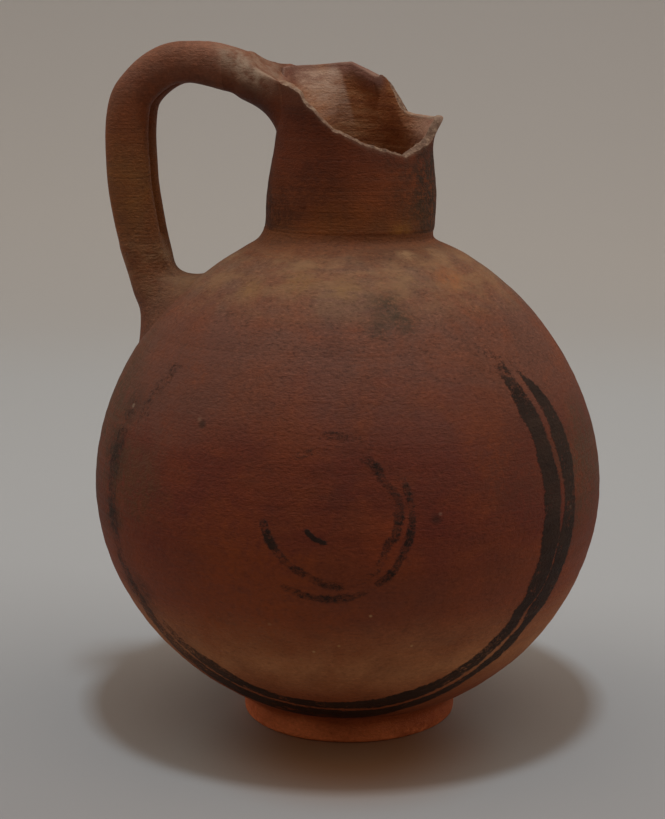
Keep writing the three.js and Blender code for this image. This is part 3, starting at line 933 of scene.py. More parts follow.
def keep_largest(mesh):
    """Drops everything but the largest connected body of a mesh."""
    edges = mesh_edges(mesh)
    body = np.arange(len(mesh.vertices))
    while True:
        lowest = body.copy()
        np.minimum.at(lowest, edges[:, 0], body[edges[:, 1]])
        np.minimum.at(lowest, edges[:, 1], body[edges[:, 0]])
        lowest = lowest[lowest]
        if (lowest == body).all():
            break
        body = lowest
    most = np.bincount(body).argmax()
    work = bmesh.new()
    work.from_mesh(mesh)
    work.verts.ensure_lookup_table()
    loose = [work.verts[i] for i in np.flatnonzero(body != most)]
    bmesh.ops.delete(work, geom=loose, context="VERTS")
    work.to_mesh(mesh)
    work.free()


def join_meshes(name, forms):
    """Several meshes as one; the separate objects are removed."""
    joined = bmesh.new()
    for form in forms:
        joined.from_mesh(form.data)
        bpy.data.objects.remove(form)
    mesh = bpy.data.meshes.new(name)
    joined.to_mesh(mesh)
    joined.free()
    made = bpy.data.objects.new(name, mesh)
    bpy.context.scene.collection.objects.link(made)
    return made


def eased(points, edges, weight, rounds):
    """Points drawn towards the middle of their neighbours, by a weight each."""
    counts = np.bincount(edges.ravel(), minlength=len(points))[:, None].clip(1)
    for _ in range(rounds):
        total = np.zeros_like(points)
        np.add.at(total, edges[:, 0], points[edges[:, 1]])
        np.add.at(total, edges[:, 1], points[edges[:, 0]])
        points = points + (total / counts - points) * weight[:, None] * 0.6
    return points


def mesh_edges(mesh):
    flat = np.zeros(len(mesh.edges) * 2, np.int32)
    mesh.edges.foreach_get("vertices", flat)
    return flat.reshape(-1, 2)


def mesh_normals(mesh):
    flat = np.zeros(len(mesh.vertices) * 3, np.float32)
    mesh.vertex_normals.foreach_get("vector", flat)
    return flat.reshape(-1, 3).astype(float)


def globe_gap(points):
    """How far points stand out of the globe, and which way is straight out of it."""
    radius = np.hypot(points[:, 0], points[:, 1])
    rise = points[:, 2] - BELLY_HEIGHT
    power = np.where(rise > 0, UPPER_POWER, UNDER_POWER)
    depth = np.where(rise > 0, UPPER_DEPTH, UNDER_DEPTH)
    a, b = radius / BELLY_RADIUS, np.abs(rise) / depth
    level = (a**power + b**power) ** (1 / power)
    outward, upward = a ** (power - 1) / BELLY_RADIUS, np.sign(rise) * b ** (power - 1) / depth
    size = np.hypot(outward, upward) + 1e-12
    gap = (level - 1) / size * level ** (power - 1)
    level_way = points[:, :2] * (outward / size / (radius + 1e-9))[:, None]
    return gap, np.column_stack([level_way, upward / size])


# The neck counts for the lug alone, above this height; elsewhere it is far away
LUG_ZONE_BOTTOM, NOWHERE_NEAR = 168, 99


def neck_gap_of(points):
    """How far points stand out of the neck, and which way is straight out of it."""
    radius = np.hypot(points[:, 0], points[:, 1])
    bearing = np.arctan2(points[:, 1], points[:, 0]) / (2 * math.pi)
    stands_out = radius - neck_line(bearing, points[:, 2])
    gap = np.where(points[:, 2] > LUG_ZONE_BOTTOM, stands_out, NOWHERE_NEAR)
    return gap, np.column_stack([points[:, 0] / radius, points[:, 1] / radius, 0 * radius])


# Places eased by hand: the bend inside the arch, and the lug's far corner
INNER_BEND = [-58, 0, 198]
FAR_CORNER = [-19, 9, 210]


def around(points, centre, reach):
    """1 at a place, falling off over a reach."""
    return np.exp(-((np.linalg.norm(points - centre, axis=1) / reach) ** 2))


def from_line(points, corners):
    """Distance from points to a line through corners."""
    line = evenly(corners, 1)
    return np.min(np.linalg.norm(points[:, None] - line[None], axis=2), axis=1)


def luted_on(points, normals):
    """Draws the clay out in a hollow curve over the shoulder and round the neck, its ends
    kept just inside the wall."""
    sideways = np.abs(normals[:, 1])
    for gap_of, reach, deepest, freed in (
        (globe_gap, 7.2 + 1.0 * sideways, -1.5, 0),
        (neck_gap_of, 4.2 + 5.5 * sideways, -1.0, 1),
    ):
        distance, direction = gap_of(points)
        outward = np.einsum("ij,ij->i", normals, direction)
        level = normals - outward[:, None] * direction
        part = 1 - np.clip(distance, 0, reach) / reach
        part = part * (1 - freed * smoothstep(-0.6, -1.4, distance))
        run = reach * (1 - np.sqrt(1 - part**2)) * 0.88 + 3 * part * np.clip(-distance, 0, 0.7)
        points = points + level * run[:, None]
        moved, direction = gap_of(points)
        wanted = np.where(part > 0, np.maximum(distance - 0.55 * part**2, deepest), moved)
        points = points + direction * (wanted - moved)[:, None]
    return points


def fallen_in(points, edges):
    """Lets the lug's top fall into the mouth, with a thumbed edge."""
    radius = np.hypot(points[:, 0], points[:, 1])
    crest = 210.2 + 0.22 * points[:, 1] + 0.6 * (radius - 24)
    crest += 6 * smoothstep(-27, -36, points[:, 0]) - 1.5 * smoothstep(25, 21.5, radius)
    crest = np.where(points[:, 0] < -10, crest, 300)
    above = np.clip(0.5 + (points[:, 2] - crest) / 3, 0, 1)
    points[:, 2] = points[:, 2] + (crest - points[:, 2]) * above - 3 * above * (1 - above) / 2
    edge_zone = np.exp(-(((points[:, 2] - crest) / 1.5) ** 2))
    return eased(points, edges, np.maximum(edge_zone, around(points, FAR_CORNER, 5)), 6)


def handle_pieces(clay, lug_clay):
    """The handle luted onto shoulder and neck, worn, and cut into its four pieces."""
    whole, line, ahead = handle_mass(clay)
    mesh = whole.data
    points, edges = coordinates(mesh) / MM, mesh_edges(mesh)
    points = eased(points, edges, np.ones(len(points)), 5)
    set_coordinates(mesh, points * MM)
    near_globe = smoothstep(11, 2, globe_gap(points)[0])
    near_neck = smoothstep(9, 2, neck_gap_of(points)[0])
    at_root = np.exp(-(((points - line[0]) @ ahead[0]) / 7) ** 2)
    at_root = at_root * (points[:, 2] < 170)
    at_lug = np.exp(-(((points - line[-1]) @ ahead[-1]) / 5) ** 2)
    at_lug = at_lug * (points[:, 0] > -45)
    in_bend = around(points * [1, 0.6, 1], INNER_BEND, 9)
    soft = np.maximum(near_globe, near_neck) + np.maximum(at_root, at_lug) + in_bend
    points = eased(points, edges, np.clip(soft, 0, 1), 18)
    set_coordinates(mesh, points * MM)
    normals = mesh_normals(mesh)
    points = fallen_in(luted_on(points, normals), edges)
    lumpy = ((points[:, 0] + 42) / 14).clip(0, 1) * smoothstep(198, 208, points[:, 2])
    lump = 0.35 * near_noise(points, 5.5, 9) + 0.22 * near_noise(points, 2.4, 3)
    points += normals * (lump * lumpy)[:, None]
    # the lug's near crest, thumbed on and rubbed pale
    from_crest, from_top = from_line(points, LUG_CREST), from_line(points, LUG_TOP)
    worn = np.exp(-((from_crest / 4.4) ** 2))
    worn = np.maximum(worn, 0.6 * np.exp(-((from_top / 7.5) ** 4)))
    points[:, 2] = np.minimum(points[:, 2], cad_high.z / MM - 0.02)
    set_coordinates(mesh, points * MM)
    out_of_neck = neck_gap_of(points)[0]
    hold = np.minimum(out_of_neck, globe_gap(points)[0])
    inner = smoothstep(0.3, -0.9, out_of_neck) * smoothstep(198, 202, points[:, 2])
    numbers = {"worked": smoothstep(-1, 6, hold), "worn": worn, "inner": inner}
    for title, values in {**numbers, "lipped": 0.7 * inner}.items():
        layer = mesh.attributes.new(title, "FLOAT", "POINT")
        layer.data.foreach_set("value", values.astype(np.float32))
    baked(whole, MARKS, {**MARKS_OF_HAND, "Clay": clay})
    past_root, past_lug = (line[0], ahead[0]), (line[-1], [-1, 0, 0])
    cuts = {
        "handle_root": [(line[0], -ahead[0])],
        "handle_rim_lug": [(line[-1], [1, 0, 0]), past_root],
        "handle_roll_near": [past_root, past_lug, ([0, 0, 0], [0, -1, 0])],
        "handle_roll_far": [past_root, past_lug, ([0, 0, 0], [0, 1, 0])],
    }
    pieces = []
    for name, planes in cuts.items():
        piece = bpy.data.objects.new(name, cut_mesh(whole.data, name, planes))
        bpy.context.scene.collection.objects.link(piece)
        if name == "handle_rim_lug":
            piece.data.materials.clear()
            piece.data.materials.append(lug_clay)
        pieces.append(piece)
    bpy.data.objects.remove(whole)
    return pieces


def cut_mesh(mesh, name, planes):
    """The part of a closed mesh on the kept side of each plane, closed again."""
    work = bmesh.new()
    work.from_mesh(mesh)
    for point, keep in planes:
        found = bmesh.ops.bisect_plane(
            work,
            geom=[*work.verts, *work.edges, *work.faces],
            dist=1e-7,
            plane_co=Vector(point) * MM,
            plane_no=Vector(keep),
            clear_inner=True,
        )
        rim = [e for e in found["geom_cut"] if isinstance(e, bmesh.types.BMEdge)]
        made = bmesh.ops.holes_fill(work, edges=rim, sides=0)["faces"]
        bmesh.ops.triangulate(work, faces=made)
        for edge in rim:
            if edge.is_valid:
                edge.smooth = False
    result = bpy.data.meshes.new(name)
    work.to_mesh(result)
    work.free()
    for polygon in result.polygons:
        polygon.use_smooth = True
    for material in mesh.materials:
        result.materials.append(material)
    face_out(result)
    return result


# Finishes. Earthenware under an iron-rich slip: dull, red brown where it fired clean, greyer
# where it took smoke, and buff where the slip has worn off the shoulder. One recipe dresses
# every piece, by place on the pot, so that joins don't show. Some of its stains, the slip's
# colours up the foot and a patch inside the mouth are painted light and shade.

# The painted rings lie round an axis turned a little from the jug's near side
RING_TURN = math.radians(5)
RING_AXIS = Vector((math.sin(RING_TURN), -math.cos(RING_TURN), 0.0))
RING_SIDE = Vector((-RING_AXIS.y, RING_AXIS.x, 0.0))
# How far the globe and the coil stand towards the handle, and the coil's height in mm
LEAN = 0.65 * MM
COIL_SHIFT = 1.1 * MM
COIL_LEVEL = 158
RING_CENTRE = Vector((-LEAN, 0.0, 0.086))
POT_TOP = 0.22

# Colours of the slip by height, in shares of the pot's height. Up the foot they run from
# pale orange at the floor to red brown under the belly: painted light thrown up from the
# floor and painted shade under the belly's overhang. The paler band low on the belly is
# partly painted light from the floor
SLIP_WITH_PAINTED_LIGHT = [
    (0.0, "#e0814e"), (0.035, "#9c4d26"), (0.1, "#924f2e"), (0.16, "#b0744a"), (0.25, "#80432b"),
    (0.36, "#682d1f"), (0.46, "#662f20"), (0.52, "#6c4031"), (0.62, "#70493a"), (0.69, "#765745"),
    (0.705, "#69412b"), (0.74, "#75431f"), (0.78, "#703a1b"), (0.84, "#602b14"), (0.9, "#52230f"),
    (1.0, "#80553f"),
]
HANDLE_SLIP = [
    (0.56, "#683a28"), (0.64, "#6f4c38"), (0.7, "#7c4f30"), (0.78, "#82552b"), (0.88, "#78482a"),
    (0.95, "#7c4f3c"), (1.0, "#8c604a"),
]
PAINT = [(0.35, "#1b120d"), (0.65, "#32231a")]
BUFF = "#94704f"
BARE = "#a28b76"
SMOKE = "#4a3026"
FLAME = "#83401d"
# Inside the mouth: the wall, its rim, where it is rubbed and painted lit, and the core seen in the
# break
FIRED = [(0.34, "#8a5334"), (0.5, "#a0643c"), (0.66, "#b07c54")]
LIPPED = "#76524a"
RUBBED_AND_LIT = "#c6a690"
CORE = [(0.3, "#452f24"), (0.5, "#755a49"), (0.7, "#a0866f")]

# Noises of the clay: waves per metre across and upright, detail, roughness and distortion.
# Clouds of the firing are 15 to 40 mm across, turning lines lie about 1 mm apart and grit
# is 0.4 to 1 mm; the finer ones are drawn as coarse as they show
CLAY_NOISES = {
    "drift": (26.0, 26.0, 3.0, 0.55, 0.0),
    "cloud": (42.0, 42.0, 6.0, 0.66, 0.4),
    "soot": (61.0, 61.0, 6.0, 0.66, 0.8),
    "turning": (16.0, 1150.0, 4.0, 0.72, 0.0),
    "grit": (720.0, 1350.0, 3.0, 0.75, 0.0),
    "patch": (60.0, 150.0, 6.0, 0.7, 0.0),
    "blot": (420.0, 420.0, 6.0, 0.85, 0.0),
    "ragged": (75.0, 75.0, 4.0, 0.6, 0.0),
    "pebble": (560.0, 980.0, 2.0, 0.6, 0.0),
    "rub": (260.0, 260.0, 4.0, 0.7, 0.0),
}
MOUTH_NOISES = {
    "fired": (70.0, 330.0, 5.0, 0.62, 0.0),
    "streak": (150.0, 420.0, 5.0, 0.7, 0.0),
    "core": (520.0, 520.0, 4.0, 0.8, 0.0),
}
# How far the slip's colours drift up and down, in shares of the pot's height
DRIFT = 0.05
# Grit is barer towards the top
GRIT_BY_HEIGHT = [(0.15, 0.5), (0.5, 0.6), (0.64, 1.0), (0.7, 1.0), (0.74, 0.45)]
TURNING_RELIEF, PEBBLE_RELIEF, GRIT_RELIEF, PAINT_RELIEF = 0.4, 0.32, 0.3, 0.2
# Stains wider than these, in mm, have a ragged outline, and are broken up into blots
RAGGED_OVER, BLOTTED_OVER = 8, 3

# Stains and chips, and patches of painted shade: a place in mm, how far it reaches, its
# colour, how strongly it shows
BODY_STAINS_AND_SHADE = [
    # the wide grey olive patches at (-76, -34, 112), (-80, -22, 78) and (79, -20, 92) darken the
    # belly's left and right edges: painted shade
    ((-76, -34, 112), 34, "#4f3c2a", 0.85), ((-80, -22, 78), 32, "#4f3c2a", 0.7),
    ((-66, -48, 94), 12, "#2c2219", 0.85), ((-66, -49.5, 76), 10, "#2c2219", 0.8),
    ((-59.5, -47, 111), 9, "#33281c", 0.7), ((-57, -53, 52), 12, "#33241a", 0.6),
    ((-48.8, -56, 114), 6, "#3c2b22", 0.4), ((79, -20, 92), 32, "#533d2c", 0.85),
    ((60, -55, 98), 26, "#5c3022", 0.75), ((-58, -58, 89), 22, "#57391f", 0.6),
    ((-18, -79, 62), 38, "#98491a", 0.4), ((24, -79, 78), 14, "#96411b", 0.3),
    ((36, -66, 112), 26, "#6e3a34", 0.25), ((4, -70, 116), 22, "#703b33", 0.2),
    ((-42, -52, 120), 34, "#6a4337", 0.75), ((18.5, -48, 143), 9, "#3c3326", 0.7),
    ((17, -55.5, 136.5), 6, "#3c3326", 0.6), ((24, -51, 138), 7, "#3c3326", 0.6),
    ((-24, -41, 146.5), 7, "#946c3e", 0.4), ((6, -46, 147), 7, "#946c3e", 0.35),
    ((-8, -43, 149), 8, "#946c3e", 0.4), ((34, -26, 149.5), 9, "#a8683a", 0.35),
    ((21.6, -25, 155.4), 5, "#a5835f", 0.5), ((30, -16, 155), 6, "#a5835f", 0.4),
    ((36.5, -73.3, 85), 2.4, "#3a2019", 0.7), ((37.6, -72.4, 86.4), 0.8, "#8a6656", 0.5),
    ((-32.9, -68.6, 109.5), 2, "#33271f", 0.7), ((-34, -67.7, 110.8), 1.2, "#8a6a56", 0.5),
    ((73.6, -35.8, 81.1), 0.9, "#a08a74", 0.6), ((-59.9, -46.9, 110.2), 1.1, "#a8947c", 0.6),
    ((0.8, -72.8, 43.3), 0.7, "#b88e60", 0.8), ((8.4, -73.6, 45.8), 0.7, "#b48450", 0.8),
    ((18.1, -76.3, 56.2), 0.7, "#b08a60", 0.8), ((-11.7, -76.3, 52.2), 0.9, "#a06c48", 0.6),
    ((29, -67.5, 45), 0.7, "#b88e60", 0.8), ((-3.3, -70.9, 40.2), 0.7, "#a07848", 0.6),
]
NECK_STAINS_AND_SHADE = [
    # the dark patch at (-26, -9, 170), on the neck's left under the lug, is the lug's painted
    # shadow; the dark one at (27, -3, 176), on the neck's right edge, is painted shade
    ((-7, -25, 178), 13, "#451f10", 0.5), ((27, -3, 176), 24, "#2e2116", 0.95),
    ((24, -14, 166), 9, "#49331f", 0.5), ((-26, -9, 170), 22, "#3a1b0d", 0.85),
    ((8, -26, 168), 7, "#96501f", 0.3), ((19, -19, 161), 6, "#966428", 0.5),
    ((-2, -27, 163), 9, "#94501f", 0.4),
]
# both patches darken the foot's sides as painted shade, most on the right
FOOT_PAINTED_SHADE = [((32, -16, 3), 26, "#873f20", 0.8), ((-33, -14, 3), 22, "#a04a28", 0.6)]


def clay_finish(
    name, slip=SLIP_WITH_PAINTED_LIGHT, orange=0.35, smoke=0.3, grain=1.0, painted=False, inside=False, stains_and_shade=()
):
    """Fired clay under worn slip, with stains and patches of painted shade, and inside the mouth a
    rubbed patch that is also painted light.
    """
    material = bpy.data.materials.new(name)
    material.use_nodes = True
    tree = material.node_tree
    tree.nodes.clear()
    add = partial(node, tree)
    place = add("ShaderNodeTexCoord").outputs["Object"]
    height = add("ShaderNodeSeparateXYZ", {0: place}).outputs[2]
    share = add("ShaderNodeMath", {0: height, 1: 1 / POT_TOP}, operation="MULTIPLY")
    noises = {}
    for title, (across, upright, detail, roughness, distortion) in {
        **CLAY_NOISES,
        **(MOUTH_NOISES if inside else {}),
    }.items():
        scaled = add("ShaderNodeMapping", {"Vector": place, "Scale": (across, across, upright)})
        sockets = {"Vector": scaled, "Scale": 1.0, "Detail": detail, "Roughness": roughness}
        noises[title] = add("ShaderNodeTexNoise", {**sockets, "Distortion": distortion})
    ramps = {}
    for title, source, stops in (
        ("flame", noises["cloud"], [(0.42, 0.0), (0.62, orange)]),
        ("soot", noises["soot"], [(0.46, 0.0), (0.78, smoke)]),
        ("stroke", noises["turning"], [(0.32, 0.72), (0.5, 1.0), (0.68, 1.24)]),
        ("dull", noises["turning"], [(0.3, 0.62), (0.7, 0.8)]),
        ("turned", share, [(0.3, 0.2), (0.66, 0.25), (0.73, 0.6), (0.97, 0.25)]),
        ("speck", noises["grit"], [(0.3, 0.5), (0.46, 0.96), (0.56, 1.04), (0.7, 1.5)]),
        ("barer", share, [(s, v * grain) for s, v in GRIT_BY_HEIGHT]),
        ("under neck", share, [(0.62, 0.0), (0.68, 0.7), (0.695, 0.7), (0.718, 0.0)]),
        ("patch", noises["patch"], [(0.44, 0.15), (0.6, 1.0)]),
        ("blot", noises["blot"], [(0.4, 0.1), (0.54, 1.0)]),
        ("rub", noises["rub"], [(0.38, 0.15), (0.6, 0.85)]),
    ):
        ramps[title] = add("ShaderNodeValToRGB", {0: source}, stops=stops)
    drifted = add(
        "ShaderNodeMath", {0: noises["drift"], 1: DRIFT, 2: share}, operation="MULTIPLY_ADD"
    )
    drifted = add("ShaderNodeMath", {0: drifted, 1: DRIFT / 2}, operation="SUBTRACT")
    colour = add("ShaderNodeValToRGB", {0: drifted}, stops=slip)
    buff = add(
        "ShaderNodeMath", {0: ramps["under neck"], 1: ramps["patch"]}, operation="MULTIPLY"
    )
    # what lies over the slip: how much of it, its colour, and how it is laid
    layers = [
        (ramps["flame"], linear(FLAME), "MIX"),
        (ramps["soot"], linear(SMOKE), "MIX"),
        (ramps["turned"], ramps["stroke"], "MULTIPLY"),
        (ramps["barer"], ramps["speck"], "MULTIPLY"),
        (buff, linear(BUFF), "MIX"),
    ]
    # stains, and patches of painted shade laid on the same way
    for centre, reach, tint, strength in stains_and_shade:
        centre, size = Vector(centre) * MM, reach * MM
        away = add("ShaderNodeVectorMath", {0: place, 1: centre}, operation="DISTANCE")
        away = away.outputs["Value"]
        if reach > RAGGED_OVER:
            sockets = {0: noises["ragged"], 1: 1.6 * size, 2: away}
            away = add("ShaderNodeMath", sockets, operation="MULTIPLY_ADD")
            away = add("ShaderNodeMath", {0: away, 1: 0.8 * size}, operation="SUBTRACT")
        spread = {"From Min": 0.2 * size, "From Max": size, "To Min": strength, "To Max": 0.0}
        shown = add(
            "ShaderNodeMapRange", {"Value": away, **spread}, interpolation_type="SMOOTHSTEP"
        )
        if reach > BLOTTED_OVER:
            shown = add("ShaderNodeMath", {0: shown, 1: ramps["blot"]}, operation="MULTIPLY")
        layers.append((shown, linear(tint), "MIX"))
    relief = add(
        "ShaderNodeMath", {0: ramps["turned"], 1: noises["turning"]}, operation="MULTIPLY"
    )
    relief = add("ShaderNodeMath", {0: relief, 1: TURNING_RELIEF}, operation="MULTIPLY")
    pebble = add("ShaderNodeMath", {0: noises["pebble"], 1: PEBBLE_RELIEF}, operation="MULTIPLY")
    for raised, amount in ((pebble, ramps["barer"]), (noises["grit"], GRIT_RELIEF)):
        sockets = {0: raised, 1: amount, 2: relief}
        relief = add("ShaderNodeMath", sockets, operation="MULTIPLY_ADD")
    if painted:
        paint = ring_paint(tree, place)
        black = add("ShaderNodeValToRGB", {0: noises["patch"]}, stops=PAINT)
        layers.append((paint, black, "MIX"))
        sockets = {0: paint, 1: PAINT_RELIEF, 2: relief}
        relief = add("ShaderNodeMath", sockets, operation="MULTIPLY_ADD")
    marks = {
        title: add("ShaderNodeAttribute", attribute_name=title).outputs["Fac"]
        for title in (("worn", "inner", "lipped", "rubbed", "fracture") if inside else ("worn",))
    }
    if inside:
        # the inner face fired orange, its slip rubbed away where a hand or a dipper reached; the
        # rubbed patch on the left is painted light as well
        fired = add("ShaderNodeValToRGB", {0: noises["fired"]}, stops=FIRED)
        sockets = {0: 0.5, 6: fired, 7: ramps["speck"]}
        fired = add("ShaderNodeMix", sockets, data_type="RGBA", blend_type="MULTIPLY")
        streak = add("ShaderNodeValToRGB", {0: noises["streak"]}, stops=[(0.36, 0.35), (0.6, 1.0)])
        pale = add("ShaderNodeMath", {0: marks["rubbed"], 1: streak}, operation="MULTIPLY")
        layers += [
            (marks["inner"], fired.outputs[2], "MIX"),
            (marks["lipped"], linear(LIPPED), "MIX"),
            (pale, linear(RUBBED_AND_LIT), "MIX"),
        ]
    bare = add("ShaderNodeMath", {0: marks["worn"], 1: ramps["rub"]}, operation="MULTIPLY")
    layers.append((bare, linear(BARE), "MIX"))
    if inside:
        # the break shows the wall's core, paler and layered
        core = add("ShaderNodeValToRGB", {0: noises["core"]}, stops=CORE)
        layers.append((marks["fracture"], core, "MIX"))
    for amount, tint, laid in layers:
        sockets = {0: amount, 6: colour, 7: tint}
        colour = add("ShaderNodeMix", sockets, data_type="RGBA", blend_type=laid).outputs[2]
    bump = add("ShaderNodeBump", {"Height": relief, "Strength": 0.8, "Distance": 0.0014})
    surface = {"Base Color": colour, "Roughness": ramps["dull"], "Normal": bump}
    # fired clay has an IOR near 1.5 and hardly shines
    shader = add("ShaderNodeBsdfPrincipled", {**surface, "IOR": 1.5, "Specular IOR Level": 0.2})
    add("ShaderNodeOutputMaterial", {"Surface": shader})
    return material


# Edges of the two broad bands and of the bare line between them, in degrees from the rings'
# axis, by share of a turn: 0 at the left, 0.25 below, 0.5 at the right, 0.75 above
BAND_INNER = [
    (0.1, 53), (0.14, 50.6), (0.155, 49.2), (0.19, 50.6), (0.26, 49.1), (0.3, 48.7),
    (0.384, 49.6), (0.397, 50.1), (0.411, 49.4), (0.421, 50.4), (0.433, 49.3), (0.453, 49.8),
    (0.47, 48.9), (0.51, 49.3), (0.53, 49.2), (0.55, 49.8), (0.571, 49.2), (0.59, 50.2),
    (0.61, 50.6), (0.9, 50),
]
BAND_GAP = [
    (0.16, 55.6), (0.25, 54), (0.281, 55.1), (0.316, 54.6), (0.36, 54.1), (0.4, 54.7),
    (0.411, 53.7), (0.43, 55.2), (0.484, 55.7), (0.508, 56.1), (0.523, 55.6), (0.539, 55.5),
    (0.556, 56), (0.583, 55.4), (0.9, 55),
]
BAND_OUTER = [
    (0.06, 60.5), (0.13, 62.5), (0.2, 64.5), (0.27, 63), (0.292, 60.4), (0.309, 59.6),
    (0.342, 57.9), (0.357, 57.7), (0.378, 59.2), (0.401, 58.4), (0.42, 60.3), (0.45, 61),
    (0.485, 61.7), (0.51, 61.7), (0.521, 62.4), (0.545, 62.2), (0.56, 61.6), (0.575, 60.2),
    (0.59, 57.6), (0.62, 57), (0.95, 61.2),
]
# Half the bare line's width
BAND_BARE = [
    (0.12, 0.15), (0.2, 0.3), (0.3, 0.4), (0.4, 0.5), (0.415, 0.0), (0.475, 0.0), (0.485, 0.6),
    (0.52, 0.7), (0.555, 0.95), (0.585, 0.75), (0.62, 0.3),
]
# The small ring's own line, brushed by hand
SMALL_LINE = [
    (0.02, 13.1), (0.09, 12.5), (0.175, 12.3), (0.24, 13.5), (0.32, 14.3), (0.37, 14.1),
    (0.43, 12.9), (0.47, 14), (0.54, 14.7), (0.59, 13.4), (0.65, 14.3), (0.8, 13.8),
]
# How much of each is kept, by the same share of a turn
INNER_KEPT = [
    (0.08, 0.05), (0.11, 0.4), (0.15, 0.7), (0.2, 0.76), (0.3, 0.8), (0.38, 0.74), (0.42, 0.84),
    (0.47, 0.84), (0.49, 0.76), (0.51, 0.76), (0.53, 0.84), (0.56, 0.8), (0.585, 0.68),
    (0.6, 0.45), (0.62, 0.2), (0.64, 0.0), (0.87, 0.0), (0.9, 0.42), (0.935, 0.42), (0.96, 0.0),
]
OUTER_KEPT = [
    (0.0, 0.56), (0.03, 0.54), (0.07, 0.45), (0.1, 0.55), (0.14, 0.7), (0.2, 0.76), (0.3, 0.78),
    (0.39, 0.74), (0.43, 0.82), (0.5, 0.78), (0.57, 0.84), (0.59, 0.64), (0.605, 0.3),
    (0.62, 0.0), (0.92, 0.0), (0.945, 0.45), (1.0, 0.5),
]
SMALL_KEPT = [
    (0.0, 0.0), (0.015, 0.75), (0.085, 0.75), (0.1, 0.55), (0.13, 0.7), (0.17, 0.7), (0.2, 0.6),
    (0.24, 0.65), (0.3, 0.5), (0.345, 0.45), (0.37, 0.58), (0.44, 0.6), (0.46, 0.64), (0.6, 0.62),
    (0.66, 0.5), (0.69, 0.3), (0.73, 0.35), (0.83, 0.35), (0.9, 0.0),
]
MIDDLE_KEPT = [
    (0.13, 0.0), (0.16, 0.5), (0.2, 0.6), (0.26, 0.6), (0.3, 0.45), (0.335, 0.4), (0.35, 0.66),
    (0.5, 0.64), (0.52, 0.54), (0.56, 0.62), (0.58, 0.45), (0.64, 0.0), (0.67, 0.5), (0.72, 0.5),
    (0.77, 0.5), (0.8, 0.0),
]
SPOT_KEPT = [(0.06, 0.0), (0.09, 0.85), (0.23, 0.85), (0.26, 0.0)]
THIRD_KEPT = [(0.2, 0.0), (0.23, 0.55), (0.28, 0.55), (0.32, 0.0)]
# Degrees that a value of 1 stands for in the tables of lines
FULL_SCALE = 100.0
# Half the small ring's width, and the lines without a table of their own, in degrees
SMALL_HALF = 1.15
SPOT = (4.3, 5.4)
MIDDLE_RING = (15.8, 17.9)
THIRD_BAND = (66.0, 67.2)
# The bands' paint is thinned at the left
BANDS_FAINT = [(0.1, 0.75), (0.18, 1.0), (0.62, 1.0), (0.7, 0.75)]


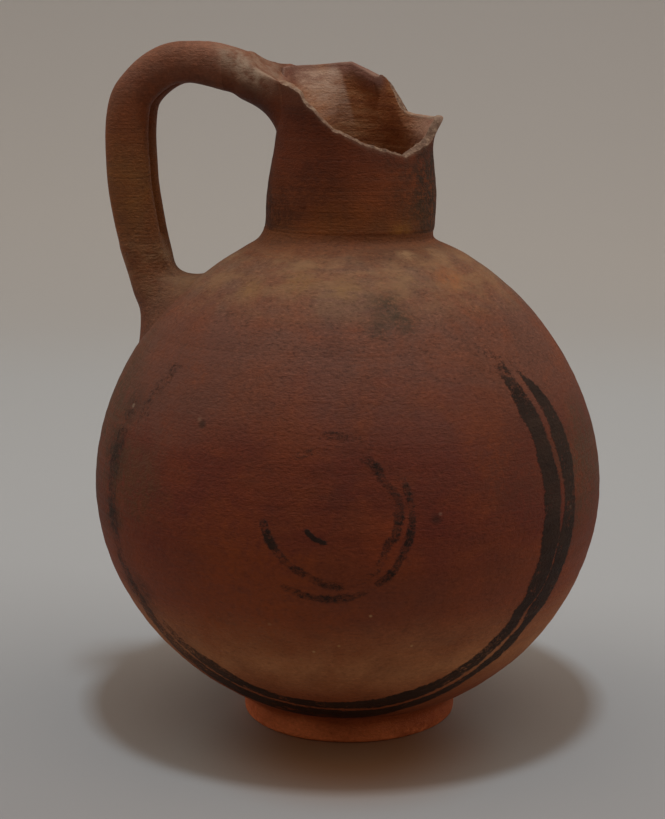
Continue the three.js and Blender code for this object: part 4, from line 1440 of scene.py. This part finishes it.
def ring_paint(tree, place):
    """Share of worn black paint: two thin rings round a small one and a pair of broad
    bands, about one point on each side of the belly."""
    add = partial(node, tree)
    arm = add("ShaderNodeVectorMath", {0: place, 1: RING_CENTRE}, operation="SUBTRACT")
    arm = add("ShaderNodeVectorMath", {0: arm}, operation="NORMALIZE")
    facing, sideways = (
        add("ShaderNodeVectorMath", {0: arm, 1: way}, operation="DOT_PRODUCT").outputs["Value"]
        for way in (RING_AXIS, RING_SIDE)
    )
    either = add("ShaderNodeMath", {0: facing}, operation="ABSOLUTE")
    turned = add("ShaderNodeMath", {0: either}, operation="ARCCOSINE")
    waver = add("ShaderNodeTexNoise", {"Vector": place, "Scale": 160.0, "Detail": 2.0})
    waver = add("ShaderNodeMath", {0: waver, 1: 0.4, 2: -0.2}, operation="MULTIPLY_ADD")
    angle = add(
        "ShaderNodeMath", {0: turned, 1: 180 / math.pi, 2: waver}, operation="MULTIPLY_ADD"
    )
    upward = add("ShaderNodeSeparateXYZ", {0: arm}).outputs[2]
    bearing = add("ShaderNodeMath", {0: upward, 1: sideways}, operation="ARCTAN2")
    turn = {"From Min": -math.pi, "From Max": math.pi}
    bearing = add("ShaderNodeMapRange", {"Value": bearing, **turn})
    # wear by flakes of about 1 mm, longer along the turning lines, thinning in slow patches
    flaky = add("ShaderNodeMapping", {"Vector": place, "Scale": (640.0, 640.0, 900.0)})
    sockets = {"Vector": flaky, "Scale": 1.0, "Detail": 4.0, "Roughness": 0.85}
    flake = add("ShaderNodeTexNoise", sockets)
    sockets = {"Vector": place, "Scale": 130.0, "Detail": 3.0, "Roughness": 0.6}
    patch = add("ShaderNodeTexNoise", sockets)
    flaking = add("ShaderNodeMath", {0: patch, 1: 0.4}, operation="MULTIPLY")
    flaking = add("ShaderNodeMath", {0: flake, 1: 0.6, 2: flaking}, operation="MULTIPLY_ADD")
    lines = {}
    for title, table in (
        ("inner", BAND_INNER),
        ("gap", BAND_GAP),
        ("outer", BAND_OUTER),
        ("small", SMALL_LINE),
    ):
        stops = [(s, degrees / FULL_SCALE) for s, degrees in table]
        row = add("ShaderNodeValToRGB", {0: bearing}, stops=stops)
        lines[title] = add("ShaderNodeMath", {0: row, 1: FULL_SCALE}, operation="MULTIPLY")
    bare = add("ShaderNodeValToRGB", {0: bearing}, stops=BAND_BARE)
    faint = add("ShaderNodeValToRGB", {0: bearing}, stops=BANDS_FAINT)
    edges = {}
    for title, half in (("gap", bare), ("small", SMALL_HALF)):
        for side, way in (("low", "SUBTRACT"), ("high", "ADD")):
            edges[title, side] = add("ShaderNodeMath", {0: lines[title], 1: half}, operation=way)
    total = None
    for low, high, soft, kept in (
        (*SPOT, 0.3, SPOT_KEPT),
        (edges["small", "low"], edges["small", "high"], 0.5, SMALL_KEPT),
        (*MIDDLE_RING, 0.5, MIDDLE_KEPT),
        (lines["inner"], edges["gap", "low"], 0.6, INNER_KEPT),
        (edges["gap", "high"], lines["outer"], 0.6, OUTER_KEPT),
        (*THIRD_BAND, 0.4, THIRD_KEPT),
    ):
        from_low = add("ShaderNodeMath", {0: angle, 1: low}, operation="SUBTRACT")
        from_high = add("ShaderNodeMath", {0: high, 1: angle}, operation="SUBTRACT")
        inward = add("ShaderNodeMath", {0: from_low, 1: from_high}, operation="MINIMUM")
        sockets = {"Value": inward, "From Min": -soft, "From Max": soft}
        span = add("ShaderNodeMapRange", sockets)
        keep = add("ShaderNodeValToRGB", {0: bearing}, stops=kept)
        keep = add("ShaderNodeMath", {0: keep, 1: span}, operation="MULTIPLY")
        # where the flaking passes this limit, paint is left
        limit = add("ShaderNodeMath", {0: keep, 1: -0.38, 2: 0.69}, operation="MULTIPLY_ADD")
        over = add("ShaderNodeMath", {0: flaking, 1: limit}, operation="SUBTRACT")
        blur = 0.12 if kept in (SMALL_KEPT, MIDDLE_KEPT) else 0.06
        sockets = {"Value": over, "From Min": -0.04, "From Max": blur}
        mark = add("ShaderNodeMapRange", sockets)
        if kept in (INNER_KEPT, OUTER_KEPT):
            mark = add("ShaderNodeMath", {0: mark, 1: faint}, operation="MULTIPLY")
        if total is None:
            total = mark
        else:
            total = add("ShaderNodeMath", {0: total, 1: mark}, operation="MAXIMUM")
    return add("ShaderNodeMath", {0: total, 1: 0.95}, operation="MULTIPLY")


def leaning(points):
    """The thrown globe, and the neck's foot with its coil, stand a little nearer to the
    handle than the rest does."""
    points = points.copy()
    height = points[:, 2] / MM
    under_neck = 1 - smoothstep(125, COIL_LEVEL, height)
    points[:, 0] -= LEAN * smoothstep(20, 60, height) * under_neck
    radius = np.hypot(points[:, 0], points[:, 1]) / MM
    by_coil = np.exp(-(((height - COIL_LEVEL) / 3) ** 2)) * smoothstep(40, 33, radius)
    points[:, 0] -= COIL_SHIFT * by_coil
    return points


BODY = clay_finish(
    "painted red slip on thrown earthenware",
    orange=0.45,
    smoke=0.36,
    painted=True,
    stains_and_shade=BODY_STAINS_AND_SHADE,
)
NECK = clay_finish(
    "red brown slip on thrown neck, layered clay at the break", inside=True, stains_and_shade=NECK_STAINS_AND_SHADE
)
COIL = clay_finish("worn slip on the luting coil")
HANDLE = clay_finish(
    "fired clay of the hand rolled handle", slip=HANDLE_SLIP, orange=0.45, smoke=0.5, grain=1.3
)
LUG = clay_finish("thumbed clay of the lug, rubbed pale", inside=True, stains_and_shade=NECK_STAINS_AND_SHADE)
FOOT = clay_finish("turned foot, fired orange red", orange=0.6, smoke=0.15, stains_and_shade=FOOT_PAINTED_SHADE)

pieces = {
    "foot_ring": (foot_ring(FOOT), "foot_clay"),
    "body_bowl": (body_bowl(BODY), "painted_body_clay"),
    "body_shoulder": (body_shoulder(BODY), "shoulder_clay"),
    "neck_luting_coil": (luting_coil(COIL), "luting_clay"),
    "neck_and_mouth": (neck_and_mouth(NECK), "neck_clay"),
}
for piece in handle_pieces(HANDLE, LUG):
    pieces[piece.name.split(".")[0]] = (piece, "lug_clay" if "lug" in piece.name else "handle_clay")
for name, (piece, slot_name) in pieces.items():
    set_coordinates(piece.data, leaning(coordinates(piece.data)))
    piece.name = "jug_" + name
    piece.data.name = piece.name
    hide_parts(name)
    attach(piece, "root")


# Floor, light and camera

AWAY, UP = 557.6 * MM, 209.6 * MM
SIDE = math.radians(8.8)
LOOK_DOWN = 0.191
LOOK_LEFT = 0.01
FOCAL = 1731.5
PHOTO_HEIGHT = 819
# the sheet's pale tone by distance behind the jug, painted darker near the camera as shade and
# paler up its far curve as light
SHEET_TONE_AND_PAINTED_FALLOFF = [
    (0.0, "#9b9b9d"), (0.07, "#a6a8aa"), (0.16, "#b3b7ba"), (0.4, "#bcc1c4"), (0.7, "#c9c9c7"),
    (1.0, "#cccbca"),
]
FOOT_SHADOW_TINT = "#8c6a50"
FOOT_SHADOW_TINT_CENTRE = (0.006, -0.038, 0.0)
ROOM_DEPTH = [(0.0, 0.1), (0.15, 0.35), (0.32, 0.9), (0.5, 1.15), (0.75, 1.2)]


def backdrop():
    """A pale sheet that lies flat and curves up far behind the jug."""
    front, bend_start, bend, top, half_width, steps = -1.5, 0.9, 0.7, 2.6, 2.6, 12
    profile = [(front, 0.0), (bend_start, 0.0)]
    for i in range(1, steps + 1):
        angle = math.pi / 2 * i / steps
        profile.append((bend_start + bend * math.sin(angle), bend - bend * math.cos(angle)))
    profile.append((bend_start + bend, top))
    across, along = (math.cos(SIDE), math.sin(SIDE)), (-math.sin(SIDE), math.cos(SIDE))
    points = [
        (x * across[0] + y * along[0], x * across[1] + y * along[1], z)
        for y, z in profile
        for x in (-half_width, half_width)
    ]
    faces = [(2 * i, 2 * i + 1, 2 * i + 3, 2 * i + 2) for i in range(len(profile) - 1)]
    sheet = plain_mesh("backdrop", np.array(points) / MM, faces)
    for polygon in sheet.data.polygons:
        polygon.use_smooth = True
    material = bpy.data.materials.new("matt pale backdrop")
    material.use_nodes = True
    tree = material.node_tree
    tree.nodes.clear()
    add = partial(node, tree)
    place = add("ShaderNodeTexCoord").outputs["Object"]
    # painted falloff of the light: darker towards the camera, paler far behind
    back = add("ShaderNodeSeparateXYZ", {0: place}).outputs[1]
    back = add("ShaderNodeMapRange", {"Value": back, "From Min": -0.15, "From Max": 1.7})
    tone = add("ShaderNodeValToRGB", {0: back}, stops=SHEET_TONE_AND_PAINTED_FALLOFF)
    # a painted shadow in front of the foot, red brown as a painted reflection of the clay
    away = add("ShaderNodeVectorMath", {0: place, 1: FOOT_SHADOW_TINT_CENTRE}, operation="DISTANCE")
    away = away.outputs["Value"]
    spread = {"From Min": 0.014, "From Max": 0.056, "To Min": 1.0, "To Max": 0.0}
    near = add("ShaderNodeMapRange", {"Value": away, **spread}, interpolation_type="SMOOTHSTEP")
    tone = add("ShaderNodeMix", {0: near, 6: tone, 7: linear(FOOT_SHADOW_TINT)}, data_type="RGBA")
    surface = {"Base Color": tone.outputs[2], "Roughness": 0.9, "Specular IOR Level": 0.2}
    shader = add("ShaderNodeBsdfPrincipled", surface)
    add("ShaderNodeOutputMaterial", {"Surface": shader})
    sheet.data.materials.append(material)


backdrop()

lamp_data = bpy.data.lights.new("ceiling lamp", "AREA")
lamp_data.shape = "SQUARE"
lamp_data.size = 0.16
lamp_data.energy = 7.6
lamp_data.color = linear("#e6f6ff")[:3]
lamp = bpy.data.objects.new("ceiling lamp", lamp_data)
lamp.location = (0.06, -0.225, 1.5)
lamp.rotation_euler = (-lamp.location).to_track_quat("-Z", "Y").to_euler()
bpy.context.scene.collection.objects.link(lamp)

# a room whose ceiling is its brightest part, darker on the side of the camera
world = bpy.data.worlds.new("soft room")
bpy.context.scene.world = world
world.use_nodes = True
tree = world.node_tree
tree.nodes.clear()
way = node(tree, "ShaderNodeTexCoord").outputs["Generated"]
parts = node(tree, "ShaderNodeSeparateXYZ", {0: way}).outputs
bright = node(tree, "ShaderNodeValToRGB", {0: parts[2]}, stops=[(0.0, 0.46), (0.9, 0.74)])
sides = node(tree, "ShaderNodeMath", {0: parts[0]}, operation="ABSOLUTE")
sides = node(tree, "ShaderNodeValToRGB", {0: sides}, stops=[(0.1, 0.85), (0.5, 1.0), (0.95, 1.6)])
deep = node(tree, "ShaderNodeMapRange", {"Value": parts[1], "From Min": -1.0, "From Max": 1.0})
deep = node(tree, "ShaderNodeValToRGB", {0: deep}, stops=ROOM_DEPTH)
for over in (sides, deep, linear("#ffe8d4")):
    sockets = {0: 1.0, 6: bright, 7: over}
    bright = node(tree, "ShaderNodeMix", sockets, data_type="RGBA", blend_type="MULTIPLY")
    bright = bright.outputs[2]
# past the sheet's edges the camera sees the same pale tone
seen = node(tree, "ShaderNodeLightPath").outputs["Is Camera Ray"]
seen = node(tree, "ShaderNodeMix", {0: seen, 6: bright, 7: linear("#c6c2bd")}, data_type="RGBA")
sky = node(tree, "ShaderNodeBackground", {"Color": seen.outputs[2]})
node(tree, "ShaderNodeOutputWorld", {"Surface": sky})

camera_data = bpy.data.cameras.new("camera")
camera_data.sensor_width = 36
camera_data.lens = FOCAL / PHOTO_HEIGHT * camera_data.sensor_width
camera_data.clip_start = 0.01
camera = bpy.data.objects.new("camera", camera_data)
camera.location = (AWAY * math.sin(SIDE), -AWAY * math.cos(SIDE), UP)
camera.rotation_euler = (math.pi / 2 - LOOK_DOWN, 0, SIDE + LOOK_LEFT)
bpy.context.scene.collection.objects.link(camera)
bpy.context.scene.camera = camera

bpy.context.scene.view_settings.view_transform = "Standard"
